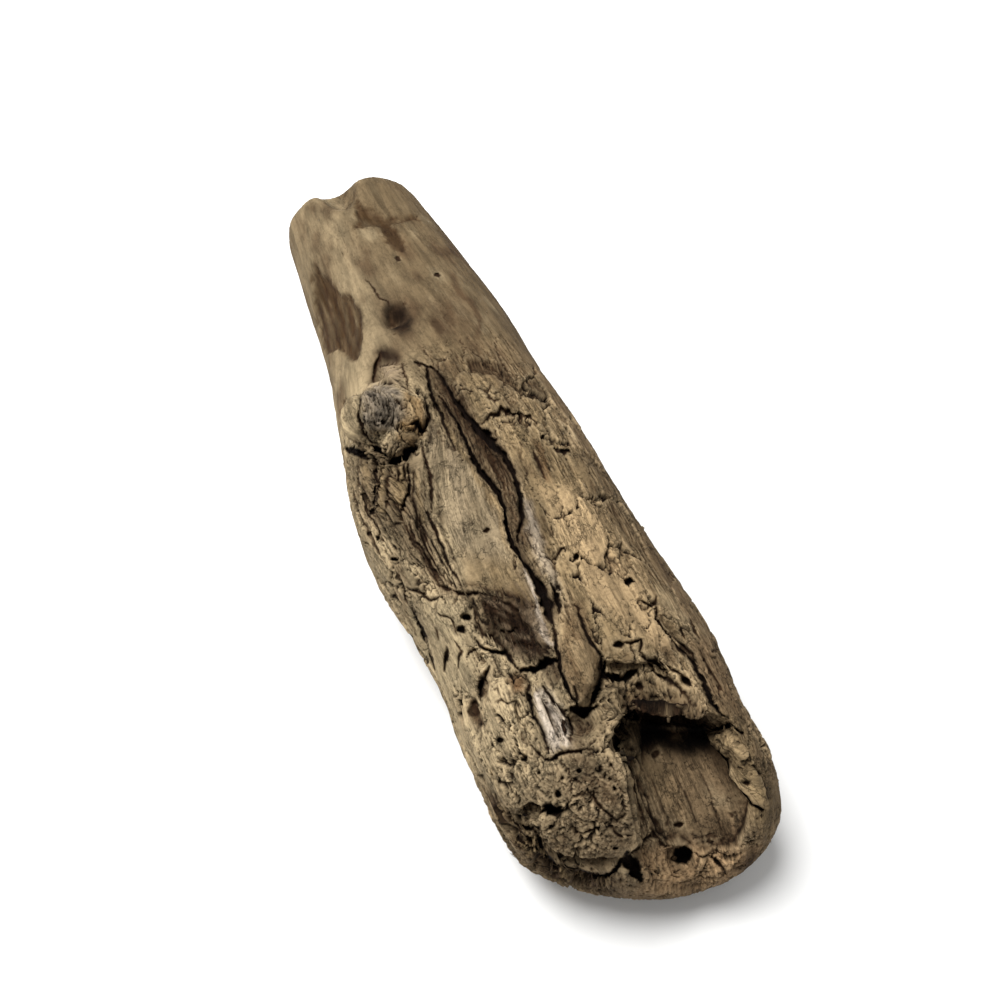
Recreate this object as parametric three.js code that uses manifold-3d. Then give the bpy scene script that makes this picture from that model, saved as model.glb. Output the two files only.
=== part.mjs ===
// A weathered log of driftwood lying on a surface, one solid piece of wood.
// Millimetres. Y runs along the log, from the rotted hollow end at -Y to the worn notched end at +Y.
// Z is up, and +X is to the right when the log is seen from its hollow end.
// A place on the log is given as `along`, its Y, and `turn`, degrees from the top towards +X.

import * as THREE from "three";
import { mergeVertices } from "three/addons/utils/BufferGeometryUtils.js";
import Module from "manifold-3d";

// Driving dimensions of the log
const HALF_LENGTH = 101;
const FLATTENING = 0.85; // half height of a section over its half width
const SECTION_POWER = 2.3; // 2 is an ellipse, more is squarer
const RESTING_WEAR = 1; // depth worn flat underneath

// Heart line and half width of the log at stations along it
const STATIONS = [
  { along: -101, sideways: 11.1, halfWidth: 24.4 },
  { along: -80, sideways: 1.3, halfWidth: 26.5 },
  { along: -50, sideways: 0.5, halfWidth: 26.6 },
  { along: -20, sideways: -2.3, halfWidth: 27.6 },
  { along: 10, sideways: -1.7, halfWidth: 26.1 },
  { along: 40, sideways: 0.6, halfWidth: 23.6 },
  { along: 70, sideways: 0.5, halfWidth: 21 },
  { along: 101, sideways: 0.3, halfWidth: 18.2 },
];

// Rounding of the two ends: length of the round, how blunt it is, and how far its tip sinks
const HOLLOW_END = { round: 24, power: 2.2, sink: 9 };
const WORN_END = { round: 11, power: 2.6, sink: 3 };

// Grid of the outer surface
const SECTORS = 46;
const TOP_CROWDING = 0.35; // how much closer the sectors lie on top than underneath
const HOLLOW_END_RINGS = 13;
const BODY_RINGS = 48;
const WORN_END_RINGS = 6;
const FINEST_EDGE = 0.05; // details of the cuts smaller than this are closed
const SAME_POINT = 1e-4; // corners closer than this are one corner
const NORMAL_STEP = 0.6; // half the span over which the surface's slope is measured

// Soft swellings and dips of the surface
const SWELLINGS = [
  { name: "knot collar", along: 3, turn: -36, halfLength: 12, halfWidth: 9, height: 2.4 },
  { name: "dip behind the knot", along: 19, turn: -38, halfLength: 6, halfWidth: 9, height: -2 },
  { name: "callus left of the scar", along: -20, turn: -49, halfLength: 24, halfWidth: 5, height: 1.4 },
  { name: "lip right of the scar", along: -16, turn: -3, halfLength: 24, halfWidth: 4, height: 1.2 },
  { name: "right lobe of the worn end", along: 92, turn: 24, halfLength: 9, halfWidth: 7, height: 0.8 },
  { name: "dip before the right lobe", along: 76, turn: 8, halfLength: 7, halfWidth: 6, height: -1.2 },
  { name: "cheek left of the hollow", along: -90, turn: -95, halfLength: 10, halfWidth: 14, height: 2.2 },
  { name: "shoulder on the left", along: -12, turn: -74, halfLength: 11, halfWidth: 9, height: 1.2 },
  { name: "waist on the left", along: -42, turn: -80, halfLength: 14, halfWidth: 12, height: -0.7 },
  { name: "dip on the near left", along: -74, turn: -85, halfLength: 10, halfWidth: 12, height: -1.4 },
  { name: "shoulder on the right", along: -61, turn: 62, halfLength: 8, halfWidth: 9, height: 0.8 },
  { name: "dip on the near right", along: -84, turn: 68, halfLength: 10, halfWidth: 12, height: -1.5 },
  { name: "left lobe of the worn end", along: 93, turn: -60, halfLength: 8, halfWidth: 8, height: 1 },
  { name: "brow over the hollow", along: -71, turn: 10, halfLength: 6, halfWidth: 12, height: -2 },
];

// Flat-bottomed patches where the skin of the wood has come away, with steep edges that wander
const PATCH_EDGE = { width: 0.25, wander: 0.18, wanderLength: 4, wanderTurn: 9 };
const PATCHES = [
  { name: "streaked patch", along: 47, turn: -52, halfLength: 20, halfWidth: 5.5, depth: 1.3 },
  { name: "patch on the worn end", along: 76, turn: 4, halfLength: 5, halfWidth: 5, depth: 0.9 },
  { name: "rotten patch", along: -53, turn: -31, halfLength: 8, halfWidth: 5.5, depth: 3.2 },
  { name: "bleached strip", along: -69, turn: -32, halfLength: 8, halfWidth: 4, depth: 1.8 },
  { name: "step before the hollow", along: -73, turn: 8, halfLength: 6.5, halfWidth: 12, depth: 2.2 },
  { name: "shed flake", along: 4, turn: 18, halfLength: 7, halfWidth: 5, depth: 1 },
  { name: "shed plate, right side", along: -24, turn: 100, halfLength: 30, halfWidth: 8, depth: 1.2 },
  { name: "shed plate, underside", along: 25, turn: 150, halfLength: 36, halfWidth: 9, depth: 1.3 },
  { name: "shed plate, left side", along: -35, turn: -112, halfLength: 28, halfWidth: 8, depth: 1.2 },
];

// The long almond scar: its middle line and half width, shallow on the left, deep under its right lip
const SCAR = {
  middle: [[9, -12], [-10, -21], [-27, -25], [-45, -27], [-62, -23]],
  halfWidth: 6.4,
  leftDepth: 1.6,
  rightDepth: 4,
  widestEarly: 0.8, // below 1 the widest place lies nearer the tip
  bluntness: 0.75,
  thinnest: 0.5, // half width where the scar fades out
  fullyDeep: 4, // half width from which it has its full depth
  edge: { from: 0.8, to: 1.15 },
};

// Long flutes and slow unevenness that weather leaves all round
const FLUTES = { count: 13, height: 0.45, twist: 0.012, fainterOnTop: 0.6 };
const UNEVENNESS = { height: 0.6, length: 21 };
const CRUMBLE = { height: 0.9, length: 6, reach: 42, fade: 12 };

// Open cracks, each along a route of [along, turn] places, with narrow ends and ragged edges
const CRACK_SHAPE = {
  mouthAbove: 2.5, // how far the cut starts above the surface
  tip: 0.03, // share of the route at either end that has the width of the tip
  tipShare: 0.12, // width of the tip over the full width
  bluntness: 0.6,
  raggedness: 0.3,
  raggedPitch: 7,
};
const CRACKS = [
  {
    name: "outer lip crack",
    width: 2.6,
    depth: 5,
    route: [[12, -8], [-1, -2], [-14, 2], [-24, 5], [-33, -2]],
  },
  {
    name: "inner lip crack",
    width: 2.4,
    depth: 6,
    route: [[-7, -7], [-20, -7], [-31, -9], [-42, -14], [-57, -16]],
  },
  { name: "crack from the knot", width: 1.5, depth: 3.5, route: [[16, -16], [12, -10], [4, -11], [-9, -13]] },
  {
    name: "left border of the scar",
    width: 1.5,
    depth: 3,
    route: [[-6, -27], [-18, -33], [-28, -39], [-39, -42]],
  },
  { name: "gap under the knot", width: 3.2, depth: 5, route: [[0, -51], [-7, -43], [-7, -33], [-3, -26]] },
  { name: "first callus crack", width: 1.6, depth: 3, route: [[-5, -48], [-12, -54], [-17, -62]] },
  {
    name: "second callus crack",
    width: 1.5,
    depth: 3,
    route: [[-10, -37], [-15, -41], [-23, -48], [-36, -49]],
  },
  { name: "rotten gap", width: 2.8, depth: 5, route: [[-48, -48], [-54, -45], [-59, -34], [-61, -18]] },
  { name: "left of the bleached strip", width: 1.6, depth: 3.5, route: [[-61, -37], [-68, -38], [-76, -39]] },
  { name: "right of the bleached strip", width: 1.5, depth: 3, route: [[-64, -29], [-69, -27], [-76, -27]] },
  { name: "right long crack", width: 2, depth: 4.5, route: [[-54, 30], [-61, 35], [-69, 41], [-81, 43]] },
  { name: "ledge over the hollow", width: 2.8, depth: 5, route: [[-65, -2], [-67, 8], [-68, 19], [-74, 36]] },
  { name: "break across the plates", width: 1.5, depth: 3, route: [[-9, 3], [-5, 17], [-11, 33]] },
  { name: "ragged left crack", width: 1.5, depth: 3.5, route: [[-34, -69], [-40, -76], [-49, -82]] },
  { name: "curved left crack", width: 1.4, depth: 3, route: [[-55, -46], [-58, -54], [-63, -57]] },
  {
    name: "overhang of the near mass",
    width: 3.6,
    depth: 6,
    route: [[-94, -42], [-93, -58], [-89, -72], [-84, -64], [-79, -68]],
  },
  { name: "crack to the lost knot", width: 1.6, depth: 2.5, route: [[45, -25], [39, -20], [34, -17]] },
  { name: "right side check", width: 1.8, depth: 4.5, route: [[30, 64], [4, 70], [-24, 68], [-40, 71]] },
  { name: "low right check", width: 1.7, depth: 4, route: [[-14, 98], [-42, 102], [-66, 99]] },
  { name: "far right check", width: 1.5, depth: 3.5, route: [[82, 84], [62, 88], [44, 86]] },
  { name: "left side check", width: 1.7, depth: 4, route: [[42, -88], [16, -92], [-12, -90]] },
  { name: "low left check", width: 1.6, depth: 4, route: [[-20, -118], [-44, -122], [-66, -118]] },
  { name: "underside check", width: 1.8, depth: 4, route: [[70, 140], [40, 146], [14, 142]] },
];

// Round holes left by knots and worms
const HOLE_SIDES = 9;
const HOLE_RINGS = 6;
const HOLES = [
  { name: "lost knot", along: 34, turn: -17, halfLength: 3.8, halfWidth: 2.9, depth: 6 },
  { name: "hollow above the knot", along: 19, turn: -33, halfLength: 4, halfWidth: 2.8, depth: 3.5 },
  { name: "slot in the near mass", along: -82, turn: -56, halfLength: 1.6, halfWidth: 3, depth: 6 },
  { name: "pocket under the splinter", along: -73, turn: -17, halfLength: 2.4, halfWidth: 3.2, depth: 4.5 },
  { name: "hole beside the hollow", along: -79, turn: -10, halfLength: 2.2, halfWidth: 1.6, depth: 6 },
  { name: "gap beside the near mass", along: -95, turn: -38, halfLength: 3, halfWidth: 3.2, depth: 8 },
  { name: "side knot hole", along: 52, turn: 96, halfLength: 4.2, halfWidth: 3.2, depth: 5 },
];

// The rotted hollow: its walls, floor and roof at stations, leaning back to the right
const HOLLOW = {
  lean: 0.4,
  power: 2.8,
  sides: 22,
  raggedness: 0.06,
  raggedSides: 1.7,
  raggedLength: 8,
  stations: [
    { along: -52, left: 4, right: 8, floor: 31, roof: 33 },
    { along: -58, left: 0, right: 12, floor: 29, roof: 35.5 },
    { along: -66, left: -2, right: 15, floor: 28, roof: 36.5 },
    { along: -73, left: -3, right: 16.5, floor: 27.5, roof: 37.5 },
    { along: -77, left: -3, right: 17.5, floor: 27, roof: 47 },
    { along: -84, left: -3, right: 18, floor: 25.5, roof: 52 },
    { along: -91, left: -3.5, right: 18, floor: 22.5, roof: 54 },
    { along: -98, left: -4, right: 17.5, floor: 18, roof: 54 },
    { along: -106, left: -4, right: 17, floor: 14, roof: 54 },
  ],
};

// Worm hole through the front edge of the hollow's floor
const FLOOR_HOLE = { sideways: 3.9, along: -96, height: 18.5, halfWidth: 1.8, halfLength: 3, halfHeight: 3 };

// Groove across the worn end, between its two lobes
const NOTCH = { sideways: -3.4, height: 33, halfWidth: 7, halfHeight: 11, from: 81, to: 112 };
const NOTCH_SIDES = 16;
const NOTCH_RINGS = 10;

// Broken branch stub, leaning towards the hollow end
const KNOT = {
  along: 5,
  turn: -39,
  radius: 5.8,
  standing: 2.2,
  flatness: 0.72,
  slope: 0.1,
  lean: 0.35,
  detail: 3,
  roughness: 0.14,
  roughLength: 2.6,
  roughSeed: 9,
};

// Loose splinter over the lower end of the scar
const SPLINTER = {
  route: [[-49, 1], [-56, -5], [-64, -10], [-71, -17]],
  width: 7.4,
  thickness: 3.6,
  lift: 1.2,
  rootDepth: 0.3, // share of the thickness that is buried at the root
  thinnest: 0.4, // share of the thickness at the point
  widestLate: 1.5, // above 1 the widest place lies nearer the point
  bluntness: 0.7,
  from: 0.12,
  to: 0.96,
  steps: 9,
  sides: 8,
};

const WOOD_COLOUR = 0x8c7b5e;
const WOOD_ROUGHNESS = 0.9;

const wasm = await Module();
wasm.setup();

const { degToRad, radToDeg, clamp, lerp, smoothstep, euclideanModulo } = THREE.MathUtils;

// Smooth curve of sideways offset and half width along the log
const stationCurve = new THREE.CubicInterpolant(
  STATIONS.map((station) => station.along),
  STATIONS.flatMap((station) => [station.sideways, station.halfWidth]),
  2,
);

// Numbers that scramble the cells of the noise lattice
const SCRAMBLE = { i: 127.1, j: 311.7, k: 74.7, spread: 43758.5453 };

// A number from 0 to 1 that belongs to one cell of the lattice
function cellValue(i, j, k) {
  const mixed = Math.sin(i * SCRAMBLE.i + j * SCRAMBLE.j + k * SCRAMBLE.k) * SCRAMBLE.spread;
  return mixed - Math.floor(mixed);
}

// Smooth lattice noise from -1 to 1
function unevenAt(x, y, z) {
  const [i, j, k] = [Math.floor(x), Math.floor(y), Math.floor(z)];
  const [u, v, w] = [smoothstep(x - i, 0, 1), smoothstep(y - j, 0, 1), smoothstep(z - k, 0, 1)];
  const edge = (dj, dk) => lerp(cellValue(i, j + dj, k + dk), cellValue(i + 1, j + dj, k + dk), u);
  return 2 * lerp(lerp(edge(0, 0), edge(1, 0), v), lerp(edge(0, 1), edge(1, 1), v), w) - 1;
}

// How far into an end's round a place lies: 0 on the body, 1 at the tip
function intoEnd(end, distanceToTip) {
  return clamp((end.round - distanceToTip) / end.round, 0, 1);
}

// Section of the plain log at a place along it
function sectionAt(along) {
  const [sideways, halfWidth] = stationCurve.evaluate(along);
  const hollow = intoEnd(HOLLOW_END, along + HALF_LENGTH);
  const worn = intoEnd(WORN_END, HALF_LENGTH - along);
  const hollowFullness = (1 - hollow ** HOLLOW_END.power) ** (1 / HOLLOW_END.power);
  const wornFullness = (1 - worn ** WORN_END.power) ** (1 / WORN_END.power);
  const fullness = hollowFullness * wornFullness;
  const halfHeight = halfWidth * FLATTENING;
  const height = halfHeight - RESTING_WEAR - HOLLOW_END.sink * hollow ** 2 - WORN_END.sink * worn ** 2;
  return { sideways, height, halfWidth, halfHeight, fullness };
}

// Millimetres round the log between two turns
function arcBetween(turn, other, halfWidth) {
  const gap = euclideanModulo(turn - other + 180, 360) - 180;
  return degToRad(gap) * halfWidth;
}

// Turn of a route at a place along it, with the route's ends held beyond it
function turnAlong(route, along) {
  const rising = [...route].sort((a, b) => a[0] - b[0]);
  const alongs = rising.map((place) => place[0]);
  const turns = rising.map((place) => place[1]);
  const curve = new THREE.LinearInterpolant(alongs, turns, 1);
  return curve.evaluate(clamp(along, alongs[0], alongs[alongs.length - 1]))[0];
}

function swellingAt(spot, along, turn, halfWidth) {
  const lengthways = (along - spot.along) / spot.halfLength;
  const across = arcBetween(turn, spot.turn, halfWidth) / spot.halfWidth;
  return spot.height * Math.exp(-(lengthways ** 2) - across ** 2);
}

function patchAt(patch, along, turn, halfWidth) {
  const lengthways = (along - patch.along) / patch.halfLength;
  const across = arcBetween(turn, patch.turn, halfWidth) / patch.halfWidth;
  const wander = unevenAt(along / PATCH_EDGE.wanderLength, turn / PATCH_EDGE.wanderTurn, patch.along);
  const inside = 1 - Math.hypot(lengthways, across) + PATCH_EDGE.wander * wander;
  return -patch.depth * smoothstep(inside, 0, PATCH_EDGE.width);
}

function scarAt(along, turn, halfWidth) {
  const tip = SCAR.middle[0][0];
  const foot = SCAR.middle[SCAR.middle.length - 1][0];
  const progress = (tip - along) / (tip - foot);
  if (progress <= 0 || progress >= 1) return 0;
  const reach = SCAR.halfWidth * Math.sin(Math.PI * progress ** SCAR.widestEarly) ** SCAR.bluntness;
  const across = arcBetween(turn, turnAlong(SCAR.middle, along), halfWidth) / Math.max(reach, SCAR.thinnest);
  const depth = lerp(SCAR.leftDepth, SCAR.rightDepth, smoothstep(across, -1, 1));
  const inside = 1 - smoothstep(Math.abs(across), SCAR.edge.from, SCAR.edge.to);
  return -depth * inside * smoothstep(reach, SCAR.thinnest, SCAR.fullyDeep);
}

// Height of the weathered surface over the plain log
function reliefAt(along, turn, halfWidth) {
  const round = degToRad(turn);
  const [sine, cosine] = [Math.sin(round), Math.cos(round)];
  const [rightwards, upwards] = [halfWidth * sine, halfWidth * cosine];
  let relief = scarAt(along, turn, halfWidth);
  for (const spot of SWELLINGS) relief += swellingAt(spot, along, turn, halfWidth);
  for (const patch of PATCHES) relief += patchAt(patch, along, turn, halfWidth);
  const fluting = Math.cos(FLUTES.count * (round + FLUTES.twist * along));
  relief += FLUTES.height * fluting * (1 - FLUTES.fainterOnTop * cosine);
  const slow = UNEVENNESS.length;
  relief += UNEVENNESS.height * unevenAt(rightwards / slow, along / (2 * slow), upwards / slow);
  const fine = CRUMBLE.length;
  const crumbling = smoothstep(CRUMBLE.reach - HALF_LENGTH - along, 0, CRUMBLE.fade);
  relief += crumbling * CRUMBLE.height * unevenAt(rightwards / fine, along / fine, upwards / fine);
  return relief;
}

// How far out a rounded square of a given power reaches in a direction, where a circle reaches 1
function squareness(sine, cosine, power) {
  return (Math.abs(sine) ** power + Math.abs(cosine) ** power) ** (-1 / power);
}

// A point of the weathered surface
function surfacePoint(along, turn) {
  const section = sectionAt(along);
  const round = degToRad(turn);
  const [sine, cosine] = [Math.sin(round), Math.cos(round)];
  const square = squareness(sine, cosine, SECTION_POWER);
  const relief = reliefAt(along, turn, section.halfWidth);
  return new THREE.Vector3(
    section.sideways + section.fullness * (section.halfWidth * square + relief) * sine,
    along,
    section.height + section.fullness * (section.halfHeight * square + relief) * cosine,
  );
}

// Outward direction of the surface at a place
function outwardAt(along, turn) {
  const step = NORMAL_STEP;
  const lengthways = surfacePoint(along + step, turn).sub(surfacePoint(along - step, turn));
  const across = surfacePoint(along, turn + 2 * step).sub(surfacePoint(along, turn - 2 * step));
  return lengthways.cross(across).negate().normalize();
}

function geometryFrom(positions, triangles) {
  const geometry = new THREE.BufferGeometry();
  geometry.setAttribute("position", new THREE.Float32BufferAttribute(positions, 3));
  geometry.setIndex(triangles);
  return geometry;
}

// Closed skin over rings of points, with a point at each end
function skinOver(rings, firstTip, lastTip) {
  const sides = rings[0].length;
  const positions = [...rings.flat(), firstTip, lastTip].flatMap((point) => point.toArray());
  const firstIndex = rings.length * sides;
  const triangles = [];
  for (let side = 0; side < sides; side++) {
    const next = (side + 1) % sides;
    triangles.push(firstIndex, next, side);
    for (let ring = 0; ring + 1 < rings.length; ring++) {
      const [low, high] = [ring * sides, (ring + 1) * sides];
      triangles.push(low + side, low + next, high + next, low + side, high + next, high + side);
    }
    const last = (rings.length - 1) * sides;
    triangles.push(last + side, last + next, firstIndex + 1);
  }
  return geometryFrom(positions, triangles);
}

// A solid from a closed geometry, turned right side out
function solidFrom(geometry) {
  geometry.deleteAttribute("normal");
  geometry.deleteAttribute("uv");
  const merged = mergeVertices(geometry, SAME_POINT);
  const vertProperties = new Float32Array(merged.attributes.position.array);
  const triVerts = new Uint32Array(merged.index.array);
  const solid = new wasm.Manifold(new wasm.Mesh({ numProp: 3, vertProperties, triVerts }));
  if (solid.volume() > 0) return solid;
  return new wasm.Manifold(new wasm.Mesh({ numProp: 3, vertProperties, triVerts: triVerts.reverse() }));
}

// The largest piece of a solid, without crumbs that cuts have set free
function largestPiece(solid) {
  return solid.decompose().reduce((largest, piece) => (piece.volume() > largest.volume() ? piece : largest));
}

// Places of the rings: close together on the rounded ends, even along the body
function ringPlaces() {
  const places = [];
  for (let ring = 1; ring <= HOLLOW_END_RINGS; ring++) {
    const into = Math.cos((Math.PI / 2) * (ring / HOLLOW_END_RINGS));
    places.push(-HALF_LENGTH + HOLLOW_END.round * (1 - into));
  }
  const start = -HALF_LENGTH + HOLLOW_END.round;
  const end = HALF_LENGTH - WORN_END.round;
  for (let ring = 1; ring <= BODY_RINGS; ring++) places.push(lerp(start, end, ring / BODY_RINGS));
  for (let ring = 1; ring < WORN_END_RINGS; ring++) {
    places.push(end + WORN_END.round * Math.sin((Math.PI / 2) * (ring / WORN_END_RINGS)));
  }
  return places;
}

function logSolid() {
  const turns = [];
  for (let sector = 0; sector < SECTORS; sector++) {
    const even = (2 * Math.PI * sector) / SECTORS;
    turns.push(radToDeg(even - TOP_CROWDING * Math.sin(even)));
  }
  const rings = ringPlaces().map((along) => turns.map((turn) => surfacePoint(along, turn)));
  return solidFrom(skinOver(rings, surfacePoint(-HALF_LENGTH, 0), surfacePoint(HALF_LENGTH, 0)));
}

// Frames along a route on the surface: point, outward direction and sideways direction
function framesAlong(route, steps) {
  const curve = new THREE.CatmullRomCurve3(route.map(([along, turn]) => new THREE.Vector3(along, turn, 0)));
  const places = curve.getPoints(steps);
  const points = places.map((place) => surfacePoint(place.x, place.y));
  return places.map((place, index) => {
    const ahead = points[Math.min(index + 1, steps)].clone().sub(points[Math.max(index - 1, 0)]);
    const outward = outwardAt(place.x, place.y);
    const sideways = ahead.clone().cross(outward).normalize();
    return { point: points[index], outward, sideways, progress: index / steps };
  });
}

// A V-shaped crack that narrows to nothing at both ends
function crackCutter(crack) {
  const { mouthAbove, tipShare, tip, bluntness, raggedness, raggedPitch } = CRACK_SHAPE;
  const steps = crack.route.length + 2;
  const rings = framesAlong(crack.route, steps).map(({ point, outward, sideways, progress }) => {
    const opening = Math.sin(Math.PI * clamp(progress, tip, 1 - tip)) ** bluntness;
    const fade = lerp(tipShare, 1, opening);
    const ragged = 1 + raggedness * unevenAt(progress * raggedPitch, crack.depth, crack.width);
    const halfMouth = 0.5 * crack.width * fade * ragged * (1 + mouthAbove / crack.depth);
    const mouth = point.clone().addScaledVector(outward, mouthAbove);
    return [
      mouth.clone().addScaledVector(sideways, halfMouth),
      mouth.clone().addScaledVector(sideways, -halfMouth),
      point.clone().addScaledVector(outward, -crack.depth * fade),
    ];
  });
  return solidFrom(skinOver(rings, middleOf(rings[0]), middleOf(rings[rings.length - 1])));
}

function middleOf(points) {
  const sum = new THREE.Vector3();
  for (const point of points) sum.add(point);
  return sum.divideScalar(points.length);
}

// A blind hole with a rounded bottom, square to the surface
function holeCutter(hole) {
  const shape = new THREE.SphereGeometry(1, HOLE_SIDES, HOLE_RINGS);
  const outward = outwardAt(hole.along, hole.turn);
  const across = new THREE.Vector3(0, 1, 0).cross(outward).normalize();
  const lengthways = outward.clone().cross(across);
  const place = new THREE.Matrix4().makeBasis(across, lengthways, outward);
  place.scale(new THREE.Vector3(hole.halfWidth, hole.halfLength, hole.depth));
  place.setPosition(surfacePoint(hole.along, hole.turn));
  return solidFrom(shape.applyMatrix4(place));
}

function floorHoleCutter() {
  const shape = new THREE.SphereGeometry(1, HOLE_SIDES, HOLE_RINGS);
  shape.scale(FLOOR_HOLE.halfWidth, FLOOR_HOLE.halfLength, FLOOR_HOLE.halfHeight);
  shape.translate(FLOOR_HOLE.sideways, FLOOR_HOLE.along, FLOOR_HOLE.height);
  return solidFrom(shape);
}

function hollowCutter() {
  const rings = HOLLOW.stations.map(({ along, left, right, floor, roof }) => {
    const middle = new THREE.Vector2((left + right) / 2, (floor + roof) / 2);
    const ring = [];
    for (let side = 0; side < HOLLOW.sides; side++) {
      const round = (2 * Math.PI * side) / HOLLOW.sides;
      const [sine, cosine] = [Math.sin(round), Math.cos(round)];
      const uneven = unevenAt(side / HOLLOW.raggedSides, along / HOLLOW.raggedLength, HOLLOW.sides);
      const reach = squareness(sine, cosine, HOLLOW.power) * (1 + HOLLOW.raggedness * uneven);
      const x = middle.x + 0.5 * (right - left) * reach * sine;
      const z = middle.y + 0.5 * (roof - floor) * reach * cosine;
      ring.push(new THREE.Vector3(x, along - HOLLOW.lean * (x - middle.x), z));
    }
    return ring;
  });
  return solidFrom(skinOver(rings.reverse(), middleOf(rings[0]), middleOf(rings[rings.length - 1])));
}

function notchCutter() {
  const length = NOTCH.to - NOTCH.from;
  const groove = new THREE.SphereGeometry(1, NOTCH_SIDES, NOTCH_RINGS);
  groove.scale(NOTCH.halfWidth, length, NOTCH.halfHeight);
  groove.translate(NOTCH.sideways, NOTCH.to, NOTCH.height);
  return solidFrom(groove);
}

function knotStub() {
  const stub = new THREE.IcosahedronGeometry(KNOT.radius, KNOT.detail);
  const corner = new THREE.Vector3();
  for (let index = 0; index < stub.attributes.position.count; index++) {
    corner.fromBufferAttribute(stub.attributes.position, index);
    const cell = corner.clone().divideScalar(KNOT.roughLength);
    corner.multiplyScalar(1 + KNOT.roughness * unevenAt(cell.x + KNOT.roughSeed, cell.y, cell.z));
    corner.z = Math.min(corner.z, KNOT.radius * KNOT.flatness + KNOT.slope * corner.x);
    stub.attributes.position.setXYZ(index, corner.x, corner.y, corner.z);
  }
  const outward = outwardAt(KNOT.along, KNOT.turn);
  outward.y -= KNOT.lean;
  outward.normalize();
  stub.applyQuaternion(new THREE.Quaternion().setFromUnitVectors(new THREE.Vector3(0, 0, 1), outward));
  const seat = surfacePoint(KNOT.along, KNOT.turn).addScaledVector(outward, KNOT.standing);
  stub.translate(seat.x, seat.y, seat.z);
  return solidFrom(stub);
}

function splinterSolid() {
  const { width, thickness, lift, rootDepth, thinnest, widestLate, bluntness, from, to, sides } = SPLINTER;
  const frames = framesAlong(SPLINTER.route, SPLINTER.steps);
  const rings = frames.map(({ point, outward, sideways, progress }) => {
    const fade = Math.sin(Math.PI * lerp(from, to, progress ** widestLate)) ** bluntness;
    const middle = point.clone().addScaledVector(outward, lerp(-rootDepth * thickness, lift, progress));
    const ring = [];
    for (let side = 0; side < sides; side++) {
      const round = (2 * Math.PI * side) / sides;
      const across = 0.5 * width * fade * Math.cos(round);
      const up = 0.5 * thickness * lerp(thinnest, 1, fade) * Math.sin(round);
      ring.push(middle.clone().addScaledVector(sideways, across).addScaledVector(outward, up));
    }
    return ring;
  });
  return solidFrom(skinOver(rings, middleOf(rings[0]), middleOf(rings[rings.length - 1])));
}

// Everything below the surface that the log lies on
function surfaceBelow() {
  const size = 4 * HALF_LENGTH;
  return solidFrom(new THREE.BoxGeometry(size, size, size).translate(0, 0, -size / 2));
}

function driftwoodGeometry() {
  let wood = logSolid().add(knotStub()).add(splinterSolid());
  wood = wood.subtract(hollowCutter()).subtract(floorHoleCutter()).subtract(notchCutter());
  for (const crack of CRACKS) wood = wood.subtract(crackCutter(crack));
  for (const hole of HOLES) wood = wood.subtract(holeCutter(hole));
  wood = wood.subtract(surfaceBelow());
  const { vertProperties, triVerts } = largestPiece(wood).asOriginal().setTolerance(FINEST_EDGE).getMesh();
  const geometry = geometryFrom(vertProperties, Array.from(triVerts));
  geometry.computeBoundingBox();
  const middle = geometry.boundingBox.getCenter(new THREE.Vector3());
  geometry.translate(-middle.x, -middle.y, 0);
  geometry.computeVertexNormals();
  return geometry;
}

const wood = new THREE.MeshStandardMaterial({ color: WOOD_COLOUR, roughness: WOOD_ROUGHNESS, metalness: 0 });
const driftwood = new THREE.Mesh(driftwoodGeometry(), wood);
driftwood.name = "driftwood";

const log = new THREE.Group();
log.add(driftwood);

export default log;
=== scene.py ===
import itertools
import math

import bmesh
import bpy
import numpy as np
from mathutils import Matrix


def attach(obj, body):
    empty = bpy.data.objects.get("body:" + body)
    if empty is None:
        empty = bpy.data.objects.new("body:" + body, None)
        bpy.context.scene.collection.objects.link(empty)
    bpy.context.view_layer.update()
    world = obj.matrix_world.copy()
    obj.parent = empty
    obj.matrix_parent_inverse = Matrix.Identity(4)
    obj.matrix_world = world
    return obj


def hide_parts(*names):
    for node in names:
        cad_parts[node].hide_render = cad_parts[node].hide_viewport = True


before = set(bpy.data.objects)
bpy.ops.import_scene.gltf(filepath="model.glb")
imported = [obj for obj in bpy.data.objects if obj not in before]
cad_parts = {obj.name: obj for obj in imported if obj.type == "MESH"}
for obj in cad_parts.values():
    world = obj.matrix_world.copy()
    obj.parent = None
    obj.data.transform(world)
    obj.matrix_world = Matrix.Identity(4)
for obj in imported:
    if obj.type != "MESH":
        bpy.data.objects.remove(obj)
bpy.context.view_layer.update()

# Lengths below are in millimetres, and pixels are those of the photograph's 1000 by 1000 frame.
# +Y runs along the log from its rotted hollow end to its worn notched end, and +Z is up.
# A place on the skin of the log is its `along`, its Y, and its `turn`, degrees from the top towards +X.

MM = 0.001
SEED = 7

# The camera that took the photograph
FRAME_PIXELS = 1000
FOCAL_PIXELS = 1000
CAMERA_AZIMUTH = -21.94
CAMERA_ELEVATION = 56
CAMERA_DISTANCE = 218.59
CAMERA_TARGET = (2.67, -14.06, 25)

# The skin of the log, carved from a fine mesh over the solid
SKIN_STEP = 0.3
FACET_PASSES = 34
WATER_WORN_PASSES = 180
OUTWARD_PASSES = 120
MOST_TRIANGLES = 196000
UNSEEN_TRIANGLES = 60000

# Heart line of the log, along and sideways, and the hollow round it
HEART_LINE = ((-101, 12.7), (-80, 2.9), (-50, 2.1), (-20, -0.7), (10, -0.1), (40, 2.2), (70, 2.1), (101, 1.9))
HEART_HEIGHT = 21
HOLLOW_RADII = (26, 22)

# Grain that flows round the branch stub
KNOT = (-15.5, 3, 44)
KNOT_REACH = 8
GRAIN_STRETCH = 14

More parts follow.
